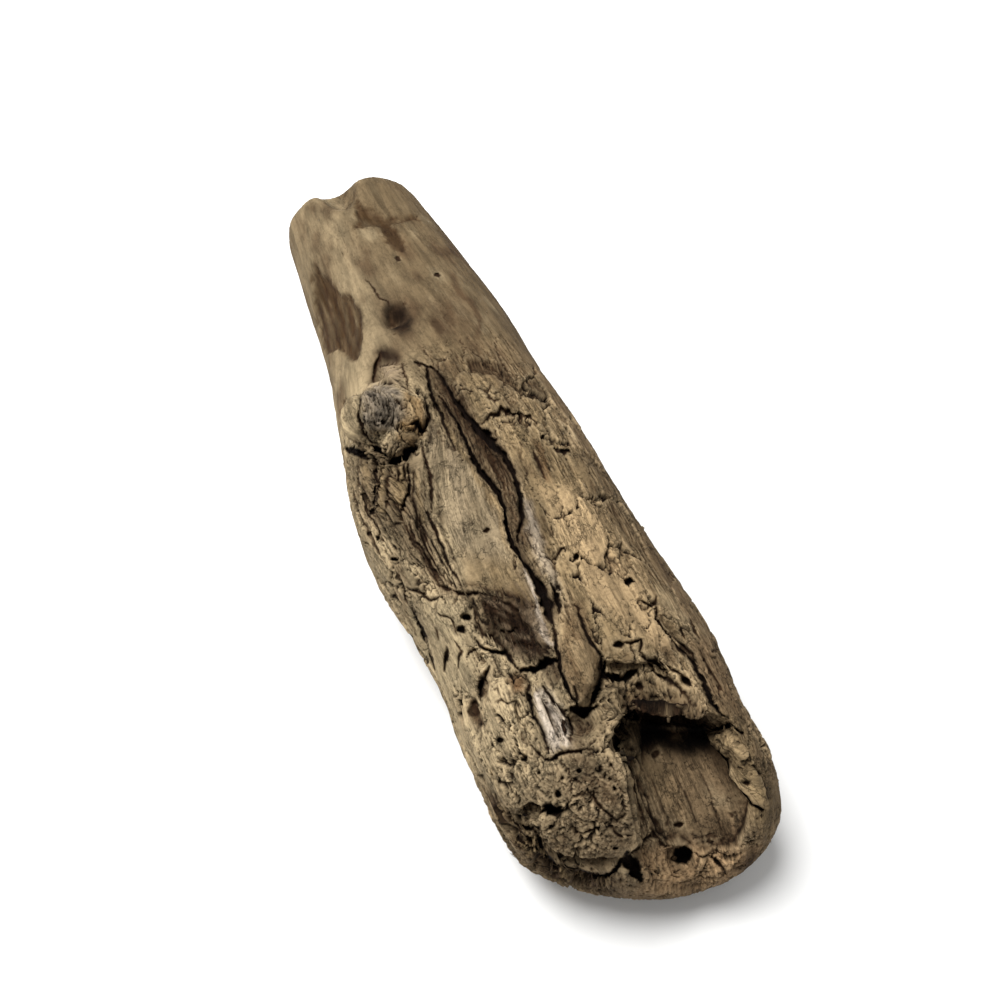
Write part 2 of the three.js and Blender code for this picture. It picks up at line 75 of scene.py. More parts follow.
# Open cracks: width in pixels, depth in mm and route in pixels
CRACK_WALL = 0.35
CRACK_WALL_PIXELS = 1.5
CRACKS = {
    "outer lip of the scar": (7, 3.4, (
        (430, 366), (440, 374), (447, 386), (455, 401), (467, 416), (477, 426), (484, 436), (493, 447),
        (505, 457), (511, 470), (516, 482), (520, 500), (522, 520), (520, 543))),
    "deep part of the outer lip": (17, 3.6, ((470, 421), (484, 436), (494, 448), (504, 457))),
    "upper part of the inner lip": (4.5, 2.6, (
        (440, 396), (446, 407), (458, 424), (464, 439), (470, 453))),
    "inner lip of the scar": (8, 4.4, (
        (446, 407), (458, 424), (464, 439), (470, 453), (478, 468), (488, 482), (499, 494), (504, 511),
        (506, 529), (512, 544), (519, 558), (531, 573), (542, 587), (551, 602), (553, 625))),
    "wide foot of the inner lip": (15, 4, ((527, 568), (538, 586), (546, 604), (551, 622))),
    "line in the plank": (3, 1, ((462, 412), (480, 440), (492, 462), (504, 490), (509, 512))),
    "pocket beside the inner lip": (7, 3.5, ((552, 583), (556, 598), (560, 613))),
    "crack from the knot": (5, 2.4, (
        (415, 362), (427, 366), (428, 378), (432, 395), (439, 413), (446, 430), (454, 446))),
    "upper left border of the scar": (5, 1.5, (
        (422, 442), (426, 462), (431, 472), (430, 493), (433, 513))),
    "lower left border of the scar": (5, 2, (
        (429, 511), (434, 527), (438, 538), (443, 552), (448, 562), (455, 575), (462, 587))),
    "foot of the scar": (6, 1.5, ((435, 583), (448, 590), (462, 593), (483, 595), (500, 598))),
    "far left callus crack": (4, 1.8, ((357, 466), (360, 488), (367, 510), (382, 540))),
    "narrow callus crack": (4, 1.6, ((383, 464), (380, 492), (378, 522))),
    "first callus crack": (5, 2, ((373, 456), (375, 474), (376, 497), (371, 520))),
    "second callus crack": (4, 1.5, ((396, 463), (396, 481))),
    "third callus crack": (4, 1.5, ((403, 463), (403, 477))),
    "fourth callus crack": (5, 2.2, ((408, 463), (409, 489), (401, 505), (400, 520))),
    "first crack across the callus": (3, 1, ((392, 479), (407, 476))),
    "second crack across the callus": (3, 1, ((391, 527), (405, 523))),
    "lower callus crack": (5, 2, (
        (410, 525), (415, 538), (421, 549), (427, 562), (434, 576), (438, 583))),
    "inner callus crack": (4, 1.5, ((419, 511), (422, 528), (426, 542))),
    "left groove of the callus": (4, 1.2, ((352, 485), (359, 514), (374, 543), (388, 567))),
    "short groove of the callus": (4, 1.2, ((362, 480), (368, 503), (376, 520))),
    "middle groove of the callus": (4, 1.4, ((390, 468), (388, 491), (387, 514))),
    "right groove of the callus": (4, 1.6, (
        (414, 471), (413, 497), (417, 520), (426, 549), (438, 572), (452, 587))),
    "low groove of the callus": (4, 1.4, ((403, 520), (414, 543), (429, 572), (440, 587))),
    "gap under the knot": (12, 4, ((390, 463), (404, 457), (417, 446))),
    "notch beside the knot": (7, 2.5, ((410, 428), (426, 430))),
    "left gap of the knot": (13, 3.4, ((345, 449), (356, 453), (367, 458))),
    "small left gap of the knot": (9, 3, ((373, 447), (380, 452), (387, 456))),
    "line in the rot": (4, 1.8, ((493, 630), (511, 633), (522, 629))),
    "first strand of the rot": (3, 1, ((478, 602), (500, 612), (518, 619))),
    "second strand of the rot": (2.5, 0.9, ((492, 600), (512, 606), (530, 618), (540, 634))),
    "wavy line of the rot": (2.5, 1, (
        (506, 641), (514, 645), (522, 643), (530, 648), (538, 646), (548, 653))),
    "layered edge of the rot": (3, 1.2, (
        (472, 604), (476, 620), (484, 634), (498, 642), (508, 652), (518, 660))),
    "gap below the rot": (12, 4, ((522, 672), (537, 668), (547, 661), (559, 661))),
    "left edge of the rot": (6, 2.5, (
        (475, 638), (484, 648), (493, 653), (505, 652), (518, 668), (524, 673))),
    "slit on the left": (4, 2, ((447, 648), (445, 671))),
    "ragged crack on the left": (5, 2.5, (
        (412, 608), (418, 621), (423, 634), (428, 645), (432, 658), (435, 669))),
    "short crack on the left": (3, 1.2, ((436, 627), (437, 641))),
    "first crack of the left edge": (4, 1.6, ((396, 571), (402, 588), (408, 604))),
    "second crack of the left edge": (4, 1.5, ((404, 585), (418, 593), (430, 600), (444, 597))),
    "first crack of the mound": (3, 1.2, ((440, 612), (452, 621), (458, 634))),
    "second crack of the mound": (3, 1.2, ((455, 640), (462, 652), (458, 668))),
    "curved crack on the left": (5, 2.2, ((490, 667), (482, 677), (479, 688), (481, 701))),
    "hooked crack on the left": (3, 1.2, ((479, 647), (470, 651), (467, 657))),
    "wavy crack on the left": (3, 1, ((497, 703), (502, 700), (509, 703), (516, 700))),
    "border of the red spot": (4, 1.8, ((524, 675), (529, 683), (527, 699))),
    "break across the plates": (4, 1.6, (
        (483, 424), (488, 421), (491, 416), (497, 415), (500, 410), (506, 412), (510, 410), (514, 414),
        (519, 412), (525, 417), (530, 417), (537, 423))),
    "first small plate crack": (3, 1, ((480, 390), (487, 394), (490, 386))),
    "second small plate crack": (3, 1, ((487, 394), (489, 401), (494, 405), (500, 402))),
    "trough in the plates": (8, 1.2, ((533, 451), (546, 479))),
    "curved plate crack": (3, 1.2, ((551, 562), (556, 558), (561, 549), (568, 549))),
    "hooked plate crack": (4, 1.5, ((640, 599), (645, 603), (651, 606), (655, 604), (657, 597))),
    "long plate crack": (5, 2, ((655, 605), (657, 615), (662, 627), (671, 638), (679, 648), (686, 656))),
    "first side plate crack": (4, 1.5, ((680, 627), (685, 638))),
    "second side plate crack": (4, 1.5, ((690, 619), (694, 628), (700, 638))),
    "right side of the splinter": (5, 2.2, (
        (573, 605), (578, 609), (584, 628), (590, 642), (597, 650), (602, 657), (600, 672), (594, 690))),
    "left side of the splinter": (5, 2.5, ((552, 628), (557, 645), (560, 665), (563, 685))),
    "fork of the splinter": (4, 1.8, ((574, 685), (577, 696), (576, 706))),
    "left of the splinter's tip": (9, 4, ((558, 664), (566, 690), (578, 708))),
    "right of the splinter's tip": (9, 4, ((605, 662), (600, 684), (589, 707))),
    "first slab over the ledge": (4, 1.8, ((639, 651), (656, 673), (677, 685), (695, 696))),
    "second slab over the ledge": (3, 1.4, ((654, 658), (677, 673), (692, 681))),
    "third slab over the ledge": (4, 1.6, ((669, 632), (692, 654), (699, 670))),
    "split of the right slab": (3, 1.2, ((700, 650), (712, 672), (726, 694))),
    "pocket under the splinter": (15, 4, ((573, 712), (582, 713), (596, 706))),
    "line over the ledge": (4, 1.8, ((625, 642), (641, 640), (641, 648), (640, 655))),
    "crack over the ledge": (5, 2.2, ((640, 656), (647, 661), (655, 662), (662, 669), (667, 670))),
    "ledge over the hollow": (12, 4, ((600, 669), (605, 675), (616, 677), (628, 675), (638, 670))),
    "gap beside the pale flake": (8, 3, ((681, 677), (692, 684))),
    "right long crack": (6, 3, (
        (674, 642), (686, 653), (695, 662), (699, 674), (705, 684), (711, 694), (718, 703), (725, 711),
        (729, 715))),
    "gap in the right wall": (8, 3.5, ((711, 726), (729, 724), (744, 734))),
    "left of the bleached strip": (5, 2.5, ((526, 682), (531, 709), (538, 723), (546, 743), (548, 752))),
    "right of the bleached strip": (5, 2.2, ((542, 686), (552, 700), (562, 712), (570, 723), (571, 739))),
    "foot of the bleached strip": (4, 1.8, (
        (531, 746), (545, 759), (552, 758), (567, 752), (577, 750), (593, 746))),
    "first crack of the near mass": (4, 1.5, (
        (587, 790), (597, 804), (608, 814), (616, 821), (622, 817), (625, 813))),
    "second crack of the near mass": (4, 1.3, ((608, 824), (597, 829), (587, 832), (581, 835))),
    "third crack of the near mass": (3, 1, ((611, 829), (623, 835), (633, 834))),
    "shadow under the near mass": (8, 3, (
        (640, 846), (631, 853), (622, 859), (617, 869), (604, 878), (587, 875), (572, 871), (556, 869),
        (547, 858), (540, 838), (533, 829), (520, 827), (508, 815))),
    "gap between mass and floor": (20, 5, ((627, 853), (633, 866), (641, 880))),
    "crack in the front edge": (5, 2, ((711, 858), (719, 866), (727, 875))),
    "crack to the lost knot": (3, 0.9, ((365, 280), (380, 297), (390, 308))),
    "left of the neck": (4.5, 1.3, ((380, 354), (375, 370), (373, 388))),
    "right of the neck": (3, 0.9, ((402, 364), (406, 376), (409, 387))),
    "left foot of the stub": (3, 1.2, ((361, 400), (359, 415), (364, 432), (376, 447))),
    "right foot of the stub": (5, 1.8, ((426, 402), (429, 418), (421, 432))),
    "inner edge of the right rim": (8, 3.5, (
        (708, 741), (726, 760), (729, 770), (739, 788), (749, 801), (762, 809))),
    "first line of the floor": (2.5, 0.6, ((643, 786), (651, 803), (660, 822), (671, 845))),
    "second line of the floor": (2, 0.35, ((652, 776), (662, 800), (672, 824))),
    "third line of the floor": (2, 0.35, ((676, 772), (688, 800), (699, 830))),
    "fourth line of the floor": (2, 0.35, ((700, 776), (712, 806), (724, 840))),
    "first line of the slope": (3, 1, ((630, 776), (636, 800), (640, 830))),
    "second line of the slope": (3, 0.8, ((637, 778), (644, 802), (652, 828))),
    "left edge of the floor": (4, 1.4, ((655, 828), (660, 836), (663, 843), (668, 848), (675, 846))),
    "right edge of the floor": (4, 1.4, ((694, 856), (700, 859), (707, 857), (715, 852), (724, 856))),
    "first gap of the fibres": (5, 2, ((486, 798), (504, 824), (520, 850))),
    "second gap of the fibres": (5, 2, ((500, 812), (519, 838), (538, 864))),
    "third gap of the fibres": (5, 2, ((517, 828), (537, 852), (557, 876))),
    "gap beside the rim lobe": (7, 3, ((627, 698), (629, 708), (633, 716))),
}

# Holes and pits: middle in pixels, half width and half height in pixels, depth in mm
PITS = {
    "lost knot": (399, 317, 13, 17, 0.5),
    "slot in the near mass": (551, 811, 13, 6, 5),
    "hole beside the hollow": (616, 743, 6, 9, 4),
    "hole in the front edge": (684, 858, 8, 6, 4),
    "first twin hole": (467, 618, 5, 3.5, 2),
    "second twin hole": (461, 630, 5, 3, 2),
    "brown pit on the left": (473, 709, 6, 11, 1.2),
    "pit over the ledge": (620, 644, 6, 4, 2),
    "dot in the scar": (485, 530, 3, 3, 1),
    "far dot": (397, 259, 4, 3, 0.8),
    "far right dot": (437, 275, 4, 3, 0.8),
    "first far recess": (438, 326, 8, 8, 0.3),
    "second far recess": (450, 317, 6, 10, 0.3),
    "mark in the hollow's floor": (656, 753, 4, 4, 0.5),
    "black gap of the ledge": (632, 709, 6, 5, 3),
    "first hole of the ledge": (655, 693, 6, 4, 2),
    "second hole of the ledge": (676, 700, 6, 4, 2.2),
    "third hole of the ledge": (640, 684, 5, 3.5, 1.6),
    "hollow of the slope": (631, 767, 6, 6, 2.4),
    "pit of the floor's edge": (682, 828, 4, 3, 1.2),
    "black hole beside the red line": (564, 451, 6, 4, 1.8),
    "hole of the right plates": (630, 581, 4, 4.5, 2.2),
}

# Worm holes of the near mass, the right plates and the left edge: middles in pixels
WORM_HOLES = (
    (523, 758), (537, 772), (513, 790), (562, 779), (579, 771), (558, 795), (511, 776), (498, 780),
    (493, 746), (501, 741), (611, 765), (604, 777), (611, 780), (614, 789), (631, 762), (630, 774),
    (576, 833), (614, 848), (551, 828), (500, 823), (512, 833), (521, 829), (528, 849), (543, 435),
    (558, 450), (576, 558), (714, 651), (732, 674), (746, 704), (749, 778), (426, 662), (409, 636),
    (439, 684), (445, 706), (459, 702), (368, 532), (378, 538), (394, 559), (374, 512),
)
WORM_HOLE_PIXELS = (1.8, 4)
WORM_HOLE_DEPTHS = (1, 2.2)

# Cracks and worm holes by rule on the sides that the photograph doesn't show, on the skin unrolled
HIDDEN_CRACKS = 90
HIDDEN_HOLES = 120
HIDDEN_FROM_TURN = 70
SKIN_RADIUS = 25

# Patches where the skin has come away, proud where the depth is negative: depth in mm, outline in pixels
SHED_PATCHES = {
    "streaked patch": (0.8, (
        (315, 264), (325, 277), (340, 292), (352, 297), (361, 312), (362, 340), (357, 361), (350, 361),
        (337, 350), (325, 357), (321, 342), (314, 310), (312, 280))),
    "far patch": (0.7, (
        (355, 199), (365, 205), (385, 215), (418, 216), (420, 221), (392, 224), (407, 246), (403, 252),
        (390, 246), (378, 226), (362, 228), (352, 229), (356, 217))),
    "patch before the plates": (0.9, (
        (467, 360), (490, 358), (507, 370), (526, 388), (520, 394), (496, 376), (470, 372))),
    "scar": (0.9, (
        (430, 405), (442, 432), (458, 448), (474, 468), (497, 496), (503, 514), (510, 546), (528, 574),
        (548, 606), (520, 612), (498, 594), (462, 584), (438, 528), (432, 480), (424, 450))),
    "rotten patch": (-0.8, (
        (476, 592), (505, 596), (532, 606), (548, 632), (550, 660), (530, 662), (505, 648), (484, 628))),
    "brown oval on the left": (0.9, (
        (467, 697), (474, 699), (481, 712), (485, 726), (479, 729), (471, 716))),
    "brown recess on the left": (1, (
        (480, 674), (487, 670), (489, 684), (487, 699), (481, 697), (479, 686))),
    "floor of the hollow": (1.6, (
        (640, 724), (706, 728), (716, 752), (726, 762), (728, 772), (738, 790), (748, 803), (745, 830),
        (738, 846), (715, 852), (696, 858), (680, 842), (669, 848), (657, 829), (650, 803), (642, 780))),
    "stub": (-1.4, (
        (363, 395), (372, 386), (395, 384), (410, 393), (425, 402), (427, 420), (418, 432), (416, 445),
        (403, 455), (390, 455), (378, 445), (366, 430), (361, 412))),
    "right rim of the hollow": (-1.5, (
        (712, 734), (724, 746), (735, 760), (731, 772), (742, 788), (752, 802), (768, 808), (762, 780),
        (752, 758), (740, 742), (728, 730))),
    "step before the hollow": (0.8, (
        (630, 679), (650, 676), (668, 682), (690, 694), (705, 714), (668, 706), (640, 706))),
    "front edge of the floor": (1.2, (
        (640, 846), (657, 832), (668, 848), (690, 847), (697, 858), (716, 852), (735, 860), (700, 892),
        (655, 892))),
    "plate before the break": (-0.7, (
        (452, 384), (462, 371), (478, 374), (500, 392), (513, 408), (497, 414), (486, 423), (470, 414))),
    "slope": (1.5, ((624, 756), (640, 752), (650, 800), (664, 838), (650, 844), (638, 834), (630, 800))),
}

# Kinds of surface, and where the cave gets painted shade: softness of the border in pixels and outline in
# pixels
ZONES = {
    "callus": (8, (
        (350, 446), (421, 444), (431, 470), (433, 515), (462, 590), (440, 590), (415, 572), (388, 545),
        (362, 520), (350, 485))),
    "lips": (6, (
        (415, 360), (436, 366), (474, 418), (512, 462), (528, 520), (552, 580), (566, 620), (552, 634),
        (514, 560), (500, 505), (468, 460), (447, 432), (432, 400))),
    "scar": (6, (
        (430, 405), (442, 432), (458, 452), (476, 480), (500, 516), (512, 562), (540, 620), (520, 612),
        (498, 594), (462, 584), (438, 528), (432, 480), (424, 450))),
    "stub": (5, SHED_PATCHES["stub"][1]),
    "neck": (5, ((383, 366), (398, 363), (405, 378), (404, 392), (383, 392))),
    "near mass": (8, (
        (478, 730), (530, 750), (600, 745), (636, 745), (646, 840), (620, 866), (560, 862), (540, 825),
        (500, 806), (478, 770))),
    "floor": (8, (
        (642, 757), (690, 752), (728, 775), (746, 805), (738, 846), (700, 850), (668, 844), (654, 815))),
    "ledge": (8, (
        (598, 676), (640, 668), (690, 690), (735, 735), (740, 760), (700, 740), (640, 712), (622, 735),
        (600, 730))),
    "rot": (6, (
        (462, 590), (500, 594), (534, 604), (552, 634), (556, 664), (530, 668), (500, 652), (478, 632))),
    "strip": (5, ((530, 684), (548, 686), (570, 720), (574, 748), (550, 756), (538, 724))),
    "splinter": (5, ((570, 604), (582, 602), (600, 652), (602, 668), (588, 704), (566, 700), (556, 650))),
    "front": (8, (
        (640, 846), (668, 850), (716, 852), (742, 846), (764, 850), (740, 884), (690, 898), (640, 894))),
    "slope": (4, ((626, 756), (640, 752), (650, 800), (664, 838), (650, 844), (638, 834), (630, 800))),
    "left wall": (6, ((612, 708), (638, 706), (641, 756), (628, 762), (612, 754))),
    "rim": (8, ((726, 792), (768, 796), (772, 850), (738, 852))),
    "upper plate": (5, SHED_PATCHES["plate before the break"][1]),
    "middle plate": (6, (
        (490, 427), (522, 421), (550, 468), (580, 530), (572, 546), (548, 520), (530, 488), (512, 458))),
    "smooth left": (10, ((428, 600), (470, 598), (472, 640), (466, 694), (440, 690), (426, 650))),
    "left of the stub": (6, ((338, 372), (358, 372), (362, 400), (361, 430), (370, 444), (344, 442))),
    # Painted shade of the cave beneath the brow
    "painted shade of the cave": (8, (
        (639, 716), (650, 710), (662, 713), (667, 728), (674, 740), (680, 739), (684, 726), (691, 718),
        (708, 724), (709, 748), (692, 755), (672, 748), (656, 744), (640, 748))),
    "dark fibres": (8, (
        (478, 782), (502, 806), (522, 824), (544, 838), (556, 868), (620, 882), (580, 900), (520, 872),
        (476, 820))),
}
FIBROUS_ZONES = ("callus", "lips", "rot", "strip", "slope", "dark fibres")
SMOOTH_ZONES = ("scar", "floor", "splinter", "strip", "smooth left", "left of the stub")

# The scar, its lips and the rot, where the cuts of the solid are eased before the finer ones are made
EASED = (10, (
    (345, 448), (400, 460), (425, 360), (445, 362), (500, 395), (545, 412), (550, 440), (530, 460),
    (550, 560), (565, 620), (565, 668), (520, 680), (478, 640), (440, 600), (370, 530)))
EASED_FROM_HEIGHT = 22

# Where along the log water has worn it smooth, and where the notch of its end stays sharper
WATER_WORN_FROM = -3
WATER_WORN_TO = 25
NOTCH_FROM = 78
NOTCH_TO = 94

# Raised plates and lips, pressed in where the height is negative: height in mm, reach and route in pixels
RIDGES = {
    "right lip of the scar": (0.9, 12, ((470, 420), (492, 446), (512, 478), (524, 520), (545, 580))),
    "plank between the lips": (0.5, 8, (
        (448, 392), (466, 420), (490, 456), (510, 500), (516, 530), (530, 570))),
    "white lip": (0.8, 5, ((526, 508), (535, 538), (542, 559), (556, 582))),
    "pale mound": (0.9, 14, ((438, 602), (455, 606), (468, 612))),
    "rim lobe": (2.2, 9, ((606, 686), (612, 706), (613, 730))),
    "left wall of the hollow": (1, 7, ((630, 716), (632, 734), (630, 748))),
    "first bite of the foot": (-3, 7, ((496, 830), (506, 836), (514, 842))),
    "second bite of the foot": (-3, 7, ((530, 862), (540, 868), (550, 872))),
    "third bite of the foot": (-3, 8, ((570, 882), (580, 884), (592, 886))),
    "first strand of the rot": (0.9, 3, ((484, 600), (504, 614), (520, 632), (532, 650))),
    "second strand of the rot": (0.9, 3, ((502, 597), (522, 609), (538, 628), (548, 650))),
    "third strand of the rot": (0.8, 3, ((478, 608), (492, 630), (512, 648))),
    "neck above the stub": (1.5, 9, ((391, 366), (393, 378), (394, 390))),
    "first callus": (0.8, 8, ((384, 462), (385, 490), (382, 520))),
    "second callus": (0.8, 7, ((415, 462), (416, 495), (410, 522), (424, 556))),
    "pale flake": (0.9, 7, ((668, 673), (680, 680))),
    "pale block of the right wall": (1, 10, ((706, 733), (722, 744), (734, 752))),
    "chip of the front edge": (0.8, 9, ((698, 866), (706, 868))),
    "splinter": (0.6, 14, ((573, 640), (580, 660), (582, 690))),
}

# Lobes of the brow that hang down over the hollow: drop in mm, reach and route in pixels
HANGING = {
    "left lobe of the brow": (1.7, 14, ((631, 705), (639, 703), (648, 703))),
    "middle of the brow": (0.8, 12, ((655, 703), (664, 704))),
    "long lobe of the brow": (2.3, 14, ((673, 704), (680, 705), (688, 706))),
    "right lobe of the brow": (1.5, 14, ((697, 708), (705, 709), (715, 713))),
}

# Colours of the dry wood as the eye sees them, 0 to 255, among them a near black used for painted shade and a
# pale cream used partly for painted highlights, and the share of each that the wood gives back
PALE = (188, 173, 140)
TAN = (160, 141, 107)
FAR_BROWN = (112, 98, 75)
FAR_PALE = (134, 120, 94)
NEAR_BROWN = (132, 114, 88)
SIDE_BROWN = (116, 99, 77)
STAIN_BROWN = (90, 73, 54)
PATCH_BROWN = (72, 54, 33)
TONGUE_BROWN = (128, 108, 80)
ROT_BROWN = (58, 41, 27)
# Near black: painted shade in cracks, holes, beneath the brow and in the cave, and the real dark of the rot
# and of other dark marks
SHADE_AND_ROT_BLACK = (22, 14, 9)
SCAR_PALE = (152, 139, 114)
SCAR_TAN = (132, 114, 84)
STUB_GREY = (148, 139, 124)
STUB_TAN = (142, 117, 80)
BLEACHED = (222, 212, 196)
RUST = (128, 88, 52)
FIBRE_BROWN = (74, 59, 45)
SLAB_BROWN = (144, 123, 95)
LIP_BROWN = (186, 158, 121)
PLATE_TAN = (192, 169, 131)
STRAND_PALE = (128, 112, 91)
NECK_GREY = (150, 135, 112)
SMOOTH_PALE = (174, 161, 130)
# Pale cream of ridges and raised edges: partly wear and bleaching, partly painted highlight
HIGHLIGHT_AND_WEAR_CREAM = (192, 174, 140)
TINT_BALANCE = (0.74, 0.69, 0.65)

# Stains, and painted shade and shadow where parts lie in shadow: colour, strength, softness in pixels and
# outline in pixels
STAINS = {
    "streaked patch": (PATCH_BROWN, 0.9, 4, SHED_PATCHES["streaked patch"][1]),
    "far patch": (PATCH_BROWN, 0.85, 5, SHED_PATCHES["far patch"][1]),
    "patch before the plates": (STAIN_BROWN, 0.7, 8, SHED_PATCHES["patch before the plates"][1]),
    "round the lost knot": (STAIN_BROWN, 0.7, 14, (
        (376, 296), (404, 298), (418, 322), (404, 338), (386, 326))),
    # Painted shade of the knot hole, which is cut only shallow
    "lost knot": (SHADE_AND_ROT_BLACK, 0.95, 6, (
        (388, 304), (404, 306), (412, 318), (412, 330), (402, 336), (390, 328), (384, 314))),
    "far right spot": (STAIN_BROWN, 0.9, 4, ((444, 246), (458, 249), (463, 256), (449, 254))),
    "first dark oval": (STAIN_BROWN, 0.8, 4, ((430, 320), (440, 318), (446, 330), (438, 334))),
    "second dark oval": (STAIN_BROWN, 0.8, 4, ((444, 308), (452, 306), (457, 324), (450, 328))),
    "far right streak": (STAIN_BROWN, 0.45, 8, (
        (428, 300), (462, 290), (486, 344), (470, 356), (438, 338))),
    "above the knot": (ROT_BROWN, 0.85, 7, (
        (374, 350), (384, 345), (398, 348), (403, 358), (398, 366), (384, 364), (378, 388), (369, 388),
        (372, 364))),
    "dark above the neck": (SHADE_AND_ROT_BLACK, 0.6, 5, (
        (377, 351), (389, 346), (400, 352), (398, 363), (385, 365))),
    "neck above the stub": (NECK_GREY, 0.75, 6, (
        (383, 368), (398, 365), (404, 378), (402, 390), (384, 390))),
    "end of the stub": (STUB_GREY, 0.9, 5, (
        (363, 398), (380, 390), (402, 394), (406, 420), (392, 432), (366, 424))),
    "side of the stub": (STUB_TAN, 0.8, 5, ((404, 398), (424, 402), (426, 432), (412, 448), (398, 440))),
    "right plates": (PLATE_TAN, 0.9, 14, (
        (540, 490), (572, 486), (598, 506), (638, 584), (670, 640), (640, 640), (596, 600), (562, 540))),
    "callus": (STAIN_BROWN, 0.55, 10, (
        (352, 448), (420, 442), (430, 470), (432, 520), (446, 582), (424, 574), (392, 540), (366, 520),
        (352, 490))),
    "pale strand of the callus": (TAN, 0.6, 4, (
        (390, 466), (406, 466), (408, 490), (400, 506), (392, 500))),
    "scar": (SCAR_PALE, 0.9, 6, (
        (426, 400), (440, 430), (458, 448), (476, 480), (500, 516), (508, 556), (500, 566), (462, 556),
        (436, 500), (424, 448))),
    "foot of the scar": (SCAR_TAN, 0.9, 8, (
        (462, 550), (506, 560), (530, 592), (546, 628), (530, 622), (498, 596), (466, 588))),
    "rotten patch": (ROT_BROWN, 0.95, 6, SHED_PATCHES["rotten patch"][1]),
    "dark of the rot": (SHADE_AND_ROT_BLACK, 0.4, 6, SHED_PATCHES["rotten patch"][1]),
    "band left of the rot": (STAIN_BROWN, 0.7, 8, (
        (434, 580), (478, 590), (486, 634), (470, 612), (446, 598))),
    "right slab": (SLAB_BROWN, 0.7, 8, (
        (690, 640), (712, 636), (748, 708), (742, 728), (716, 712), (700, 680))),
    "front lip": (LIP_BROWN, 0.7, 8, ZONES["front"][1]),
    "lips of the scar": (ROT_BROWN, 0.7, 8, (
        (418, 362), (436, 368), (470, 414), (508, 458), (524, 510), (534, 560), (560, 612), (552, 632),
        (516, 560), (502, 512), (470, 462), (446, 430))),
    "dark of the upper lips": (ROT_BROWN, 0.8, 6, (
        (436, 368), (452, 384), (474, 414), (508, 456), (516, 478), (502, 478), (478, 448), (458, 414),
        (442, 390))),
    "bleached strip": (BLEACHED, 0.6, 5, (
        (534, 688), (548, 690), (568, 722), (572, 744), (550, 752), (540, 722))),
    "grey side of the rot": (NECK_GREY, 0.6, 4, (
        (516, 566), (524, 570), (536, 590), (543, 612), (550, 634), (558, 648), (550, 650), (538, 628),
        (528, 596))),
    "red spot": (RUST, 0.7, 6, ((510, 674), (524, 676), (526, 690), (512, 692))),
    "dark fibres": (FIBRE_BROWN, 0.85, 10, ZONES["dark fibres"][1]),
    "splinter": (TONGUE_BROWN, 0.7, 6, ZONES["splinter"][1]),
    "white lip": (BLEACHED, 0.4, 4, (
        (523, 500), (530, 500), (546, 556), (562, 584), (558, 596), (540, 566), (528, 530))),
    "smooth left": (SMOOTH_PALE, 0.6, 14, ZONES["smooth left"][1]),
    "brown oval on the left": (STAIN_BROWN, 0.8, 4, SHED_PATCHES["brown oval on the left"][1]),
    "brown recess on the left": (STAIN_BROWN, 0.8, 4, SHED_PATCHES["brown recess on the left"][1]),
    "end of the rot": (ROT_BROWN, 0.85, 4, ((540, 664), (562, 664), (563, 684), (550, 686))),
    # Painted shadow in the floor's right corner, against the rim
    "painted shadow in the floor's corner": (ROT_BROWN, 0.75, 10, (
        (700, 744), (716, 752), (734, 778), (738, 794), (716, 776))),
    "dark edge of the lip": (ROT_BROWN, 0.8, 6, (
        (736, 868), (752, 852), (768, 846), (764, 866), (740, 882))),
    # The ledge over the hollow is browned partly for crumbled rot and partly as painted shade of its shadowed
    # slope
    "ledge": (ROT_BROWN, 0.25, 8, ZONES["ledge"][1]),
    # Painted shadow beneath the hanging brow, near black
    "painted shadow beneath the brow": (SHADE_AND_ROT_BLACK, 0.9, 3, (
        (630, 701), (656, 702), (684, 704), (706, 712), (718, 726), (690, 724), (640, 716))),
    "near right side": (TAN, 0.8, 14, (
        (716, 700), (740, 716), (764, 778), (776, 800), (770, 840), (752, 820), (736, 770), (716, 736))),
    "left wall": (ROT_BROWN, 0.6, 6, ((624, 712), (639, 710), (642, 752), (628, 760))),
    # Painted shade at the hollow's mouth and over the hanging brow, on dark crumbled wood
    "painted shade at the hollow's mouth": (ROT_BROWN, 0.7, 12, (
        (620, 690), (690, 690), (728, 730), (716, 752), (690, 752), (640, 748), (628, 720))),
}
